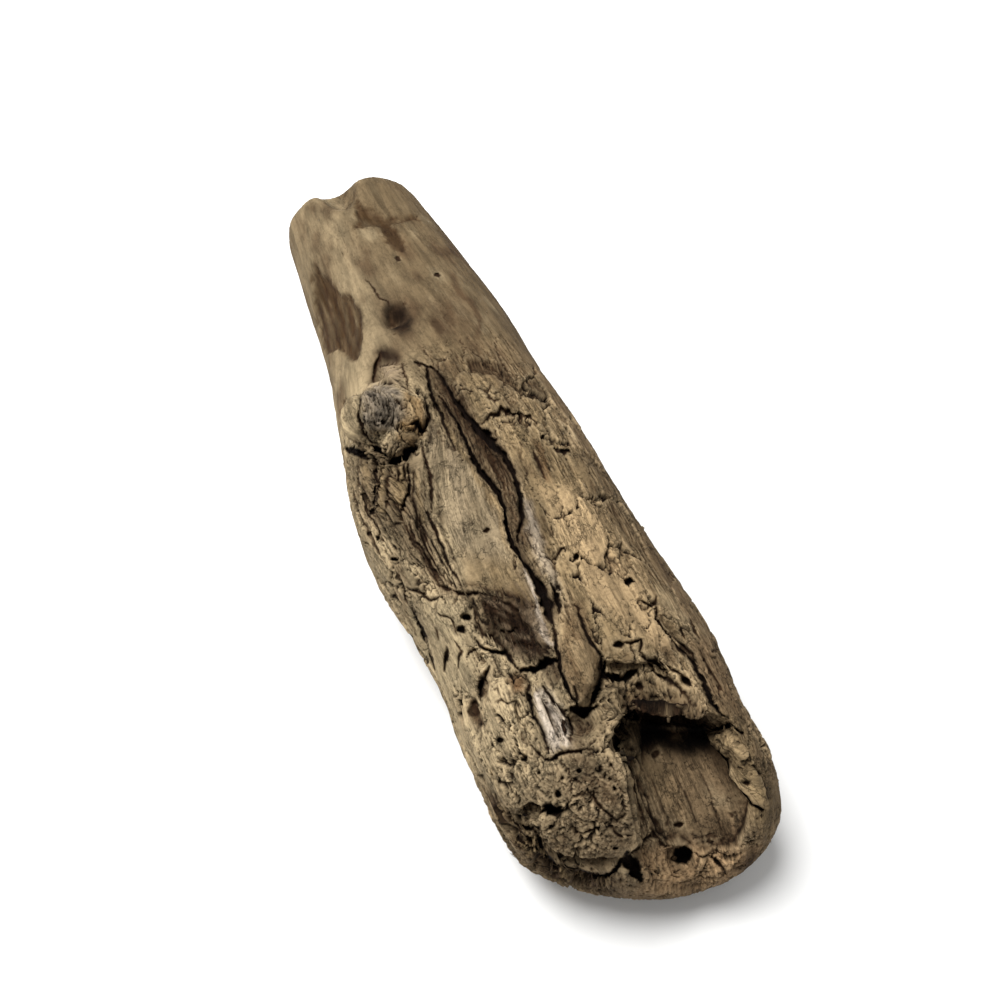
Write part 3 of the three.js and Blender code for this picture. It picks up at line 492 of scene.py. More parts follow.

# Strands and lines of another colour, among them near-black lines of painted shade along cracks and in the
# slot, and a painted highlight on the scar's edge: colour, strength, half width in pixels and route in pixels
LINES = {
    # Near-black lines along both lips of the scar: partly dirt, partly painted shade in the cracks
    "inner lip of the scar": (SHADE_AND_ROT_BLACK, 0.9, 1.8, CRACKS["inner lip of the scar"][2]),
    "outer lip of the scar": (SHADE_AND_ROT_BLACK, 0.8, 1.4, CRACKS["outer lip of the scar"][2]),
    # Painted highlight along the lit edge of the scar beside its inner lip
    "painted highlight on the scar's edge": (TAN, 0.7, 2, (
        (436, 402), (442, 416), (452, 438), (462, 454), (474, 474), (494, 500), (499, 516), (501, 534),
        (508, 550))),
    "first white fibre of the rot": (BLEACHED, 0.6, 1.6, (
        (519, 566), (530, 586), (538, 610), (545, 634), (556, 650))),
    "second white fibre of the rot": (STRAND_PALE, 0.7, 1.6, (
        (510, 578), (522, 594), (532, 616), (538, 632))),
    "third white fibre of the rot": (STRAND_PALE, 0.6, 1.4, ((486, 600), (500, 604), (516, 614))),
    "fourth white fibre of the rot": (STRAND_PALE, 0.6, 1.4, ((508, 652), (524, 650), (540, 656))),
    "white strip on the left": (SMOOTH_PALE, 0.8, 3, ((408, 606), (416, 624), (424, 642), (430, 662))),
    "first streak of the bleached strip": (BLEACHED, 0.9, 2.4, (
        (534, 690), (542, 712), (552, 734), (558, 748))),
    "second streak of the bleached strip": (BLEACHED, 0.9, 2, (
        (546, 700), (556, 718), (564, 736), (566, 748))),
    "right of the red line": (RUST, 0.35, 3, ((536, 440), (544, 462), (550, 482))),
    "top of the plate's edge": (STAIN_BROWN, 0.6, 3, ((495, 372), (510, 382), (525, 392))),
    # Near-black line round the stub's foot: partly dirt, partly painted shade in the crack there
    "edge of the stub": (SHADE_AND_ROT_BLACK, 0.6, 1.2, (
        (372, 386), (362, 398), (361, 414), (367, 432), (380, 446))),
    "first streak of the far left": (ROT_BROWN, 0.7, 1.6, ((320, 284), (328, 312), (337, 344))),
    "second streak of the far left": (ROT_BROWN, 0.7, 1.6, ((331, 294), (339, 318), (347, 350))),
    "third streak of the far left": (ROT_BROWN, 0.7, 1.4, ((343, 300), (351, 324), (356, 350))),
    "fourth streak of the far left": (ROT_BROWN, 0.6, 1.4, ((316, 298), (321, 324), (327, 350))),
    "right edge of the far left": (ROT_BROWN, 0.7, 1.4, ((352, 298), (361, 313), (362, 338), (358, 358))),
    "far right streak": (STAIN_BROWN, 0.85, 3, (
        (452, 268), (457, 290), (474, 304), (480, 320), (477, 342))),
    # Painted shade in the slot of the near mass
    "slot in the near mass": (SHADE_AND_ROT_BLACK, 0.95, 5, ((540, 808), (551, 811), (563, 816))),
    "fifth strand of the rot": (STRAND_PALE, 0.5, 1.6, ((480, 597), (496, 607), (508, 621))),
    "sixth strand of the rot": (STRAND_PALE, 0.6, 1.8, ((494, 640), (510, 646), (526, 661))),
    "seventh strand of the rot": (STRAND_PALE, 0.55, 1.6, ((528, 606), (540, 622), (550, 640))),
    "eighth strand of the rot": (STRAND_PALE, 0.6, 1.8, ((500, 623), (516, 635), (534, 641))),
    "ninth strand of the rot": (STRAND_PALE, 0.5, 1.6, ((512, 600), (526, 612), (534, 626))),
    "first strand of the callus": (TAN, 0.6, 2.4, ((382, 464), (383, 490), (380, 516))),
    "second strand of the callus": (TAN, 0.6, 3, ((398, 466), (401, 484), (396, 504))),
    "third strand of the callus": (TAN, 0.5, 2.4, ((417, 470), (420, 500), (424, 524))),
    "fourth strand of the callus": (TAN, 0.5, 2.4, ((362, 462), (366, 486), (366, 506))),
    "first pale fibre": (TAN, 0.6, 1.6, ((481, 796), (498, 818), (514, 846))),
    "second pale fibre": (TAN, 0.6, 1.6, ((493, 806), (512, 832), (530, 860))),
    "third pale fibre": (TAN, 0.6, 1.6, ((508, 820), (528, 846), (548, 872))),
    "fourth pale fibre": (TAN, 0.5, 1.6, ((527, 836), (546, 858), (568, 882))),
}


def smoothstep(low, high, values):
    share = np.clip((values - low) / (high - low), 0, 1)
    return share * share * (3 - 2 * share)


def linear(colour):
    """A colour of 0 to 255 as the eye sees it, as amounts of light."""
    share = np.array(colour) / 255
    return np.where(share <= 0.04045, share / 12.92, ((share + 0.055) / 1.055) ** 2.4)


def lattice_noise(points, seed):
    """Smooth noise from -1 to 1 with cells one unit wide."""
    cell = np.floor(points).astype(np.int64)
    part = points - cell
    part = part * part * (3 - 2 * part)
    total = np.zeros(len(points))
    for corner in itertools.product((0, 1), repeat=3):
        key = (cell + corner) * (73856093, 19349663, 83492791)
        mixed = key[:, 0] ^ key[:, 1] ^ key[:, 2] ^ (seed * 265443576)
        mixed = ((mixed ^ (mixed >> 13)) * 1274126177) & 0x7FFFFFFF
        mixed = ((mixed ^ (mixed >> 15)) * 1103515245) & 0x7FFFFFFF
        value = (mixed >> 8 & 0xFFFF) / 32767.5 - 1
        total += np.prod(np.where(corner, part, 1 - part), axis=1) * value
    return total


def layered_noise(points, seed, layers=3):
    total = np.zeros(len(points))
    for layer in range(layers):
        total += lattice_noise(points * 2 ** layer, seed + 31 * layer) / 2 ** layer
    return total


class Wiring:
    """A node tree that is put together one node at a time."""

    def __init__(self, tree):
        self.tree = tree

    def node(self, kind, inputs=None, **settings):
        node = self.tree.nodes.new(kind)
        for name, value in settings.items():
            setattr(node, name, value)
        for name, value in (inputs or {}).items():
            if isinstance(value, bpy.types.NodeSocket):
                self.tree.links.new(value, node.inputs[name])
            else:
                node.inputs[name].default_value = value
        return node

    def math(self, operation, first, second=0.0):
        node = self.node("ShaderNodeMath", {0: first, 1: second}, operation=operation)
        return node.outputs[0]

    def total(self, first, *others):
        for other in others:
            first = self.math("ADD", first, other)
        return first

    def product(self, first, *others):
        for other in others:
            first = self.math("MULTIPLY", first, other)
        return first

    def vector(self, operation, first, second):
        name = "Scale" if operation == "SCALE" else 1
        return self.node("ShaderNodeVectorMath", {0: first, name: second}, operation=operation).outputs[0]

    def noise(self, place, scale, detail, roughness=0.6):
        inputs = {"Vector": place, "Scale": scale, "Detail": detail, "Roughness": roughness}
        return self.node("ShaderNodeTexNoise", inputs)

    def attribute(self, name, kind="FLOAT"):
        """A named attribute of the geometry that a geometry tree works on."""
        node = self.node("GeometryNodeInputNamedAttribute", {"Name": name}, data_type=kind)
        return node.outputs["Attribute"]

    def keep(self, geometry, name, value, kind="FLOAT"):
        """The geometry with a value stored on its points."""
        inputs = {"Geometry": geometry, "Name": name, "Value": value}
        return self.node("GeometryNodeStoreNamedAttribute", inputs, data_type=kind, domain="POINT").outputs[0]

    def blurred_place(self, passes, share=1.0):
        """Where the points lie after drifting towards their neighbours."""
        place = self.node("GeometryNodeInputPosition").outputs[0]
        inputs = {"Value": place, "Iterations": passes, "Weight": share}
        return self.node("GeometryNodeBlurAttribute", inputs, data_type="FLOAT_VECTOR").outputs[0]

    def moved(self, geometry, inputs):
        return self.node("GeometryNodeSetPosition", {"Geometry": geometry, **inputs}).outputs[0]

    def range(self, value, low, high, to_low=0.0, to_high=1.0):
        inputs = {"Value": value, "From Min": low, "From Max": high, "To Min": to_low, "To Max": to_high}
        return self.node("ShaderNodeMapRange", inputs, interpolation_type="SMOOTHSTEP").outputs[0]


def link_to_scene(name, data):
    piece = bpy.data.objects.new(name, data)
    bpy.context.scene.collection.objects.link(piece)
    return piece


def settle(piece):
    """Turns what the modifiers of a piece make into its own plain mesh."""
    bpy.context.view_layer.update()
    graph = bpy.context.evaluated_depsgraph_get()
    mesh = bpy.data.meshes.new_from_object(piece.evaluated_get(graph), depsgraph=graph)
    piece.modifiers.clear()
    spent = piece.data
    piece.data = mesh
    bpy.data.meshes.remove(spent)
    mesh.name = piece.name


def merged_copy(node, name):
    """A copy of a solid of the frame with its triangles joined along their edges."""
    shape = bmesh.new()
    shape.from_mesh(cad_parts[node].data)
    bmesh.ops.remove_doubles(shape, verts=shape.verts, dist=0.001 * MM)
    mesh = bpy.data.meshes.new(name)
    shape.to_mesh(mesh)
    shape.free()
    return link_to_scene(name, mesh)


def set_attribute(mesh, name, values, kind="FLOAT"):
    attribute = mesh.attributes.get(name) or mesh.attributes.new(name, kind, "POINT")
    field = {"FLOAT": "value", "FLOAT_VECTOR": "vector", "FLOAT_COLOR": "color"}[kind]
    attribute.data.foreach_set(field, np.ascontiguousarray(values, np.float32).ravel())


class Skin:
    """The points of a fine mesh, in millimetres, with what joins them."""

    def __init__(self, mesh):
        self.count = len(mesh.vertices)
        flat = np.empty(self.count * 3)
        mesh.vertices.foreach_get("co", flat)
        self.points = flat.reshape(-1, 3) / MM
        edges = np.empty(len(mesh.edges) * 2, np.int32)
        mesh.edges.foreach_get("vertices", edges)
        self.edges = edges.reshape(-1, 2)
        self.neighbours = np.maximum(np.bincount(edges, minlength=self.count), 1)

    def smoothed(self, values, passes):
        """Values that drift towards the mean of their neighbours."""
        first, second = self.edges.T
        for _ in range(passes):
            total = np.bincount(first, values[second], self.count)
            total += np.bincount(second, values[first], self.count)
            values = 0.5 * (values + total / self.neighbours)
        return values

    def read(self, mesh, name, size=3):
        """A named attribute of the mesh, one row for each point."""
        flat = np.empty(self.count * size, np.float32)
        mesh.attributes[name].data.foreach_get("vector" if size == 3 else "value", flat)
        return flat.reshape(-1, size).astype(float) if size > 1 else flat.astype(float)


class Chart:
    """A flat picture of the skin: where each point lies in it, and how fully it belongs to it."""

    def __init__(self, places, weight, ragged):
        self.places = places
        self.weight = weight
        self.ragged = ragged

    def near(self, route, reach):
        route = np.array(route, float)
        low = route.min(0) - reach
        high = route.max(0) + reach
        inside = np.all((self.places > low) & (self.places < high), axis=1) & (self.weight > 0.01)
        return np.flatnonzero(inside)

    def measure(self, route, which):
        """Distance of points from a route, and how far along it they lie, from 0 to 1."""
        route = np.array(route, float)
        places = self.places[which]
        lengths = np.linalg.norm(np.diff(route, axis=0), axis=1)
        starts = np.concatenate([[0], np.cumsum(lengths)])
        nearest = np.full(len(which), np.inf)
        progress = np.zeros(len(which))
        for start, end, length, before in zip(route[:-1], route[1:], lengths, starts):
            share = np.clip((places - start) @ (end - start) / length ** 2, 0, 1)
            distance = np.linalg.norm(places - start - share[:, None] * (end - start), axis=1)
            closer = distance < nearest
            nearest[closer] = distance[closer]
            progress[closer] = (before + share[closer] * length) / starts[-1]
        return nearest, progress

    def depth_inside(self, outline, which):
        """How far inside an outline points lie, negative outside."""
        outline = np.array(outline, float)
        closed = np.vstack([outline, outline[:1]])
        distance, _ = self.measure(closed, which)
        across, down = self.places[which].T
        inside = np.zeros(len(which), bool)
        for (x0, y0), (x1, y1) in zip(closed[:-1], closed[1:]):
            spans = (y0 > down) != (y1 > down)
            with np.errstate(divide="ignore", invalid="ignore"):
                edge = x0 + (down - y0) * (x1 - x0) / (y1 - y0)
            inside ^= spans & (across < edge)
        return np.where(inside, distance, -distance)


def camera_directions():
    azimuth = math.radians(CAMERA_AZIMUTH)
    elevation = math.radians(CAMERA_ELEVATION)
    right = np.array([math.cos(azimuth), math.sin(azimuth), 0])
    back = np.array([
        math.sin(azimuth) * math.cos(elevation),
        -math.cos(azimuth) * math.cos(elevation),
        math.sin(elevation),
    ])
    return right, np.cross(back, right), back


def photo_places(points):
    """Pixels of points in the photograph, how far they lie in front of the camera, and the way to them."""
    right, up, back = camera_directions()
    view = points - (np.array(CAMERA_TARGET) + CAMERA_DISTANCE * back)
    depth = -view @ back
    across = FRAME_PIXELS / 2 + FOCAL_PIXELS * (view @ right) / depth
    down = FRAME_PIXELS / 2 - FOCAL_PIXELS * (view @ up) / depth
    return np.stack([across, down], axis=1), depth, view


def photo_chart(skin, points, outward):
    """The chart of the photograph: pixels of each point, with a weight of 0 where the camera can't see it."""
    places, depth, view = photo_places(points)
    cell = 3
    slack = 3
    cells = FRAME_PIXELS // cell + 2
    column, row = np.clip(places.T // cell, 0, cells - 1).astype(int)
    nearest = np.full((cells, cells), np.inf)
    np.minimum.at(nearest, (row, column), depth)
    seen = (depth < nearest[row, column] + slack).astype(float)
    facing = -np.sum(view * outward, axis=1) / np.linalg.norm(view, axis=1)
    weight = skin.smoothed(seen, 4) * smoothstep(0.02, 0.22, facing)
    wander = np.stack([layered_noise(points / 2.2, SEED), layered_noise(points / 2.2, SEED + 1)], axis=1)
    return Chart(places + 1.6 * wander, weight, layered_noise(points / 1.3, SEED + 4, 2))


def skin_chart(along, turn, points, hidden):
    """The chart of the unrolled skin, in millimetres, where the photograph doesn't show it."""
    wander = np.stack([layered_noise(points / 3, SEED + 2), layered_noise(points / 3, SEED + 3)], axis=1)
    places = np.stack([along, np.radians(turn) * SKIN_RADIUS], axis=1) + 0.35 * wander
    return Chart(places, hidden, layered_noise(points / 1.3, SEED + 4, 2))


def cut_crack(depths, chart, width, depth, route, wall):
    """A crack with steep walls and tapered ends, in a shallow valley of its own."""
    which = chart.near(route, 2 * width)
    distance, progress = chart.measure(route, which)
    opening = np.sin(math.pi * np.clip(progress, 0.03, 0.97)) ** 0.45
    half_width = np.maximum(0.28 * width * opening * (1 + 0.5 * chart.ragged[which]), 0.2 * wall)
    profile = smoothstep(half_width + wall, half_width - 0.6 * wall, distance)
    valley = 0.14 * np.exp(-((distance / (1.5 * half_width + wall)) ** 2))
    cut = depth * (0.3 + 0.7 * opening) * np.maximum(profile, valley) * chart.weight[which]
    depths[which] = np.maximum(depths[which], cut)


def cut_pit(depths, chart, middle, half_width, half_height, depth):
    reach = 1.6 * max(half_width, half_height)
    which = chart.near([middle], reach)
    away = (chart.places[which] - middle) / (half_width, half_height)
    profile = 1 - smoothstep(0.6, 1.1, np.linalg.norm(away, axis=1) + 0.3 * chart.ragged[which])
    depths[which] = np.maximum(depths[which], depth * profile * chart.weight[which])


def raise_ridge(heights, chart, height, reach, route):
    which = chart.near(route, 2 * reach)
    distance, progress = chart.measure(route, which)
    ends = smoothstep(0, 0.12, progress) * smoothstep(0, 0.12, 1 - progress)
    heights[which] += height * ends * np.exp(-((distance / reach) ** 2)) * chart.weight[which]


def shed_patch(heights, chart, depth, outline):
    edge = 4
    which = chart.near(outline, edge)
    inside = smoothstep(-0.5 * edge, edge, chart.depth_inside(outline, which))
    heights[which] -= depth * inside * chart.weight[which]


def weather_checks(depths, chart, random):
    """Cracks along the grain and worm holes on the sides that the photograph doesn't show."""
    for _ in range(HIDDEN_CRACKS):
        along = random.uniform(-88, 88)
        turn = random.uniform(HIDDEN_FROM_TURN, 360 - HIDDEN_FROM_TURN)
        length = random.uniform(8, 38)
        slope = random.uniform(-0.12, 0.12)
        across = math.radians((turn + 180) % 360 - 180) * SKIN_RADIUS
        steps = np.linspace(0, length, 6)
        bends = random.normal(0, 0.35, 6)
        first = along - length / 2
        route = [(first + step, across + slope * step + bend) for step, bend in zip(steps, bends)]
        cut_crack(depths, chart, random.uniform(0.5, 1.4), random.uniform(0.8, 2.4), route, CRACK_WALL)
    for _ in range(HIDDEN_HOLES):
        along = random.uniform(-95, 60)
        turn = random.uniform(-180, 180)
        size = random.uniform(0.6, 1.1)
        if abs(turn) > HIDDEN_FROM_TURN:
            middle = (along, math.radians(turn) * SKIN_RADIUS)
            cut_pit(depths, chart, middle, size, size, random.uniform(0.8, 1.8))


def geometry_tree(name, sizes):
    """An empty geometry tree with named inputs, and the wiring to fill it."""
    tree = bpy.data.node_groups.new(name, "GeometryNodeTree")
    tree.interface.new_socket("Geometry", in_out="INPUT", socket_type="NodeSocketGeometry")
    for size, value in sizes.items():
        kind = "NodeSocketInt" if isinstance(value, int) else "NodeSocketFloat"
        tree.interface.new_socket(size, in_out="INPUT", socket_type=kind)
    tree.interface.new_socket("Geometry", in_out="OUTPUT", socket_type="NodeSocketGeometry")
    wiring = Wiring(tree)
    return wiring, wiring.node("NodeGroupInput").outputs


def run_tree(wiring, geometry, piece, sizes):
    """Ends a tree, runs it on a piece with the given sizes and keeps what it makes."""
    whole = wiring.node("GeometryNodeRealizeInstances", {"Geometry": geometry}).outputs[0]
    inputs = {"Geometry": whole, "Material": weathered_wood}
    dressed = wiring.node("GeometryNodeSetMaterial", inputs).outputs[0]
    wiring.node("NodeGroupOutput", {"Geometry": dressed})
    modifier = piece.modifiers.new(wiring.tree.name, "NODES")
    modifier.node_group = wiring.tree
    for item in wiring.tree.interface.items_tree:
        if item.in_out == "INPUT" and item.name in sizes:
            modifier[item.identifier] = sizes[item.name]
    settle(piece)


def soften_facets(piece):
    """Rounds off the facets of the solid, most where water has worn the wood, and stores the way outwards."""
    sizes = {
        "Facet Passes": FACET_PASSES,
        "Water Worn Passes": WATER_WORN_PASSES,
        "Outward Passes": OUTWARD_PASSES,
    }
    wiring, given = geometry_tree("soft skin", sizes)
    place = wiring.node("GeometryNodeInputPosition").outputs[0]
    along = wiring.node("ShaderNodeSeparateXYZ", {0: place}).outputs["Y"]
    worn = wiring.range(along, WATER_WORN_FROM * MM, WATER_WORN_TO * MM)
    worn = wiring.product(worn, wiring.range(along, NOTCH_FROM * MM, NOTCH_TO * MM, 1.0, 0.2))
    soft = wiring.moved(given["Geometry"], {"Position": wiring.blurred_place(given["Facet Passes"])})
    eased = wiring.math("MAXIMUM", worn, wiring.attribute("eased"))
    soft = wiring.moved(soft, {"Position": wiring.blurred_place(given["Water Worn Passes"], eased)})
    soft = wiring.keep(soft, "kept", place, "FLOAT_VECTOR")
    soft = wiring.moved(soft, {"Position": wiring.blurred_place(given["Outward Passes"])})
    soft = wiring.keep(soft, "outward", wiring.node("GeometryNodeInputNormal").outputs[0], "FLOAT_VECTOR")
    soft = wiring.moved(soft, {"Position": wiring.attribute("kept", "FLOAT_VECTOR")})
    run_tree(wiring, soft, piece, sizes)


def weathered_relief(piece):
    """Strands of the grain, split plates and crumbled lumps, raised over the whole skin by rule."""
    sizes = {
        "Strand Height": 0.24 * MM, "Ridge Height": 1.4 * MM, "Plate Step": 0.75 * MM, "Plate Size": 5.0,
        "Split Depth": 1.2 * MM, "Lump Height": 1.2 * MM, "Grit Height": 0.8 * MM, "Pit Depth": 1.2 * MM,
        "Seed": float(SEED), "Narrow Passes": 5, "Wide Passes": 60,
    }
    wiring, given = geometry_tree("weathered relief", sizes)
    grain = wiring.attribute("grain", "FLOAT_VECTOR")
    flow = wiring.attribute("flow", "FLOAT_VECTOR")

    def centred(value):
        return wiring.math("SUBTRACT", value, 0.5)

    def grooves(scale, detail, width):
        """Narrow grooves along the grain, where a stretched noise is half way: 1 in the groove."""
        level = wiring.math("ABSOLUTE", centred(wiring.noise(grain, scale, detail, 0.6).outputs["Fac"]))
        return wiring.range(level, 0.0, width, 1.0, 0.0)

    strands = wiring.noise(grain, 0.95, 4.0, 0.62).outputs["Fac"]
    strand_rise = wiring.product(centred(strands), 2.0, given["Strand Height"])
    strand_rise = wiring.math(
        "SUBTRACT", strand_rise, wiring.product(grooves(0.8, 3.0, 0.07), 1.4, given["Strand Height"]))
    strand_rise = wiring.product(strand_rise, wiring.attribute("fibre"))
    ridges = wiring.noise(grain, 0.4, 3.0, 0.55).outputs["Fac"]
    ridge_rise = wiring.math("MINIMUM", wiring.product(centred(ridges), 1.6), 0.06)
    ridge_rise = wiring.math("SUBTRACT", ridge_rise, wiring.product(grooves(0.36, 3.0, 0.05), 0.6))
    ridge_rise = wiring.product(ridge_rise, given["Ridge Height"], wiring.attribute("ridges"))

    bend = wiring.vector("SUBTRACT", wiring.noise(flow, 0.42, 4.0, 0.65).outputs["Color"], (0.5, 0.5, 0.5))
    bent = wiring.vector("ADD", flow, wiring.vector("SCALE", bend, 2.6))
    plate_place = wiring.vector("MULTIPLY", bent, (1.0, 0.36, 1.0))
    finer = wiring.math("DIVIDE", 1.0, given["Plate Size"])
    cells = {"Vector": plate_place, "W": given["Seed"], "Scale": finer}
    plates = wiring.node("ShaderNodeTexVoronoi", cells, voronoi_dimensions="4D")
    borders = wiring.node(
        "ShaderNodeTexVoronoi", cells, voronoi_dimensions="4D", feature="DISTANCE_TO_EDGE")
    edges = borders.outputs["Distance"]
    level = wiring.node("FunctionNodeSeparateColor", {0: plates.outputs["Color"]}).outputs[0]
    plate = wiring.attribute("plate")
    openness = wiring.range(wiring.noise(flow, 0.16, 3.0).outputs["Fac"], 0.44, 0.7, 0.003, 0.075)
    split = wiring.range(wiring.math("DIVIDE", edges, openness), 0.6, 1.0, 1.0, 0.0)
    plate_rise = wiring.product(centred(level), given["Plate Step"])
    plate_rise = wiring.math("SUBTRACT", plate_rise, wiring.product(split, given["Split Depth"]))
    plate_rise = wiring.product(plate_rise, plate)

    crumble = wiring.attribute("crumble")
    lumps = wiring.noise(flow, 0.36, 8.0, 0.7).outputs["Fac"]
    lump_rise = wiring.product(wiring.range(lumps, 0.32, 0.46, -1.0, 0.0), given["Lump Height"])
    grit = wiring.noise(flow, 1.5, 4.0, 0.7).outputs["Fac"]
    lump_rise = wiring.math("ADD", lump_rise, wiring.product(centred(grit), given["Grit Height"]))
    pit_place = wiring.vector("MULTIPLY", flow, (1.0, 0.6, 1.0))
    pit = wiring.range(wiring.noise(pit_place, 0.5, 3.0, 0.6).outputs["Fac"], 0.32, 0.39, 1.0, 0.0)
    lump_rise = wiring.math("SUBTRACT", lump_rise, wiring.product(pit, given["Pit Depth"]))
    lump_rise = wiring.product(lump_rise, crumble)

    height = wiring.total(wiring.attribute("carve"), strand_rise, ridge_rise, plate_rise, lump_rise)
    outward = wiring.attribute("outward", "FLOAT_VECTOR")
    raised = wiring.vector("SCALE", outward, height)
    offset = wiring.vector("ADD", raised, wiring.attribute("cut", "FLOAT_VECTOR"))
    skin = wiring.moved(given["Geometry"], {"Offset": offset})
    place = wiring.node("GeometryNodeInputPosition").outputs[0]
    for name in ("Narrow", "Wide"):
        gap = wiring.vector("SUBTRACT", wiring.blurred_place(given[f"{name} Passes"]), place)
        sunk = wiring.node("ShaderNodeVectorMath", {0: gap, 1: outward}, operation="DOT_PRODUCT")
        skin = wiring.keep(skin, f"{name} Hollow", sunk.outputs["Value"])
    skin = wiring.keep(skin, "plate_level", level)
    run_tree(wiring, skin, piece, sizes)


def weathered_wood_material():
    material = bpy.data.materials.new("weathered_wood")
    material.use_nodes = True
    wiring = Wiring(material.node_tree)
    material.node_tree.nodes.clear()
    tint = wiring.node("ShaderNodeAttribute", attribute_name="tint").outputs["Color"]
    grain = wiring.node("ShaderNodeAttribute", attribute_name="grain").outputs["Vector"]
    flow = wiring.node("ShaderNodeAttribute", attribute_name="flow").outputs["Vector"]
    streaks = wiring.noise(grain, 0.55, 6.0, 0.66).outputs["Fac"]
    hairs = wiring.noise(grain, 1.9, 4.0, 0.66).outputs["Fac"]
    specks = wiring.noise(flow, 1.5, 5.0, 0.68).outputs["Fac"]
    bend = wiring.vector("SUBTRACT", wiring.noise(flow, 0.9, 3.0).outputs["Color"], (0.5, 0.5, 0.5))
    bent = wiring.vector("ADD", flow, wiring.vector("SCALE", bend, 2.4))
    bent = wiring.vector("MULTIPLY", bent, (1.0, 0.34, 1.0))
    cells = {"Vector": bent, "Scale": 0.62}
    borders = wiring.node("ShaderNodeTexVoronoi", cells, feature="DISTANCE_TO_EDGE")
    edges = borders.outputs["Distance"]
    open_share = wiring.range(wiring.noise(flow, 0.2, 3.0).outputs["Fac"], 0.45, 0.62, 0.002, 0.07)
    split = wiring.range(wiring.math("DIVIDE", edges, open_share), 0.3, 1.0, 0.0, 1.0)
    streak_light = wiring.range(streaks, 0.32, 0.68, 0.68, 1.26)
    crease = wiring.math("ABSOLUTE", wiring.math("SUBTRACT", hairs, 0.5))
    patches = wiring.range(wiring.noise(flow, 0.13, 3.0).outputs["Fac"], 0.38, 0.6, 1.0, 0.55)
    hair_light = wiring.math("MAXIMUM", wiring.range(crease, 0.0, 0.05, 0.55, 1.04), patches)
    speck_light = wiring.range(specks, 0.3, 0.62, 0.74, 1.12)
    along = wiring.node("ShaderNodeSeparateXYZ", {0: flow}).outputs["Y"]
    sharp = wiring.range(along, WATER_WORN_FROM, WATER_WORN_TO, 1.0, 0.25)
    # The fine checks between plates are darkened in colour to half: partly dirt in them, partly painted shade
    fine_light = wiring.product(hair_light, speck_light, wiring.range(split, 0.0, 1.0, 0.5, 1.0))
    light = wiring.product(streak_light, wiring.math("POWER", fine_light, sharp))
    colour = wiring.vector("SCALE", tint, light)
    rise = wiring.total(
        wiring.product(streaks, 0.8), wiring.product(hair_light, 0.6), wiring.product(specks, 0.9),
        wiring.product(split, 0.5))
    bump = wiring.node("ShaderNodeBump", {
        "Strength": 0.9, "Distance": 0.35 * MM, "Height": wiring.product(rise, sharp)})
    shader = wiring.node("ShaderNodeBsdfPrincipled", {
        "Base Color": colour, "Roughness": 0.9, "Specular IOR Level": 0.08,
        "Normal": bump.outputs["Normal"]})
    wiring.node("ShaderNodeOutputMaterial", {"Surface": shader.outputs[0]})
    return material


def plain_material(name, colour, roughness):
    material = bpy.data.materials.new(name)
    material.use_nodes = True
    shader = material.node_tree.nodes["Principled BSDF"]
    shader.inputs["Base Color"].default_value = (*colour, 1)
    shader.inputs["Roughness"].default_value = roughness
    return material


def zone_share(chart, softness, outline):
    """How fully each point lies inside an outline of the photograph, from 0 to 1."""
    share = np.zeros(len(chart.places))
    which = chart.near(outline, softness)
    depth = chart.depth_inside(outline, which) + 2.5 * chart.ragged[which]
    share[which] = smoothstep(-softness, softness, depth) * chart.weight[which]
    return share


def mix(tints, colour, share):
    tints += np.clip(share, 0, 1)[:, None] * (linear(colour) - tints)


def base_tints(points, along, turn):
    """Colour of the bare wood before stains: pale on the left, tan on the right, browner at both ends."""
    side = np.sin(np.radians(turn))
    top = np.cos(np.radians(turn))
    tints = np.tile(linear(TAN), (len(points), 1))
    mix(tints, PALE, smoothstep(0.1, -0.6, side) * 0.9)
    mix(tints, SIDE_BROWN, smoothstep(0.45, 0.9, side) * 0.9)
    mix(tints, FAR_BROWN, smoothstep(-5, 30, along) * smoothstep(-0.85, -0.3, side) * 0.9)
    mix(tints, FAR_PALE, smoothstep(5, 40, along) * smoothstep(-0.3, -0.85, side) * 0.9)
    mix(tints, NEAR_BROWN, smoothstep(-66, -88, along) * 0.85)
    mix(tints, SIDE_BROWN, smoothstep(0.1, -0.6, top) * 0.8)
    blotches = layered_noise(points / (5, 11, 5), SEED + 5, 4)
    mix(tints, STAIN_BROWN, smoothstep(0.1, 1.0, blotches) * 0.75)
    mix(tints, PALE, smoothstep(0.3, 1.2, -blotches) * 0.4)
    return tints


def triangles_of(mesh):
    mesh.calc_loop_triangles()
    return len(mesh.loop_triangles)


def thin_out(piece, points, spare):
    """Joins triangles at the given points until the spare ones are gone."""
    if spare <= 0:
        return
    group = piece.vertex_groups.new(name="thinned")
    group.add(points, 1, "REPLACE")
    decimate = piece.modifiers.new("fewer triangles", "DECIMATE")
    decimate.ratio = 1 - spare / triangles_of(piece.data)
    decimate.vertex_group = group.name
    settle(piece)
    piece.vertex_groups.clear()


def fine_skin():
    """A fine mesh over the solid, with the cuts of the scar eased and the facets softened."""
    piece = merged_copy("driftwood", "driftwood_log")
    remesh = piece.modifiers.new("fine skin", "REMESH")
    remesh.mode = "VOXEL"
    remesh.voxel_size = SKIN_STEP * MM
    settle(piece)
    raw = Skin(piece.data).points
    high = (raw[:, 2] > EASED_FROM_HEIGHT).astype(float)
    rough_chart = Chart(photo_places(raw)[0], high, np.zeros(len(raw)))
    set_attribute(piece.data, "eased", zone_share(rough_chart, *EASED))
    soften_facets(piece)
    return piece


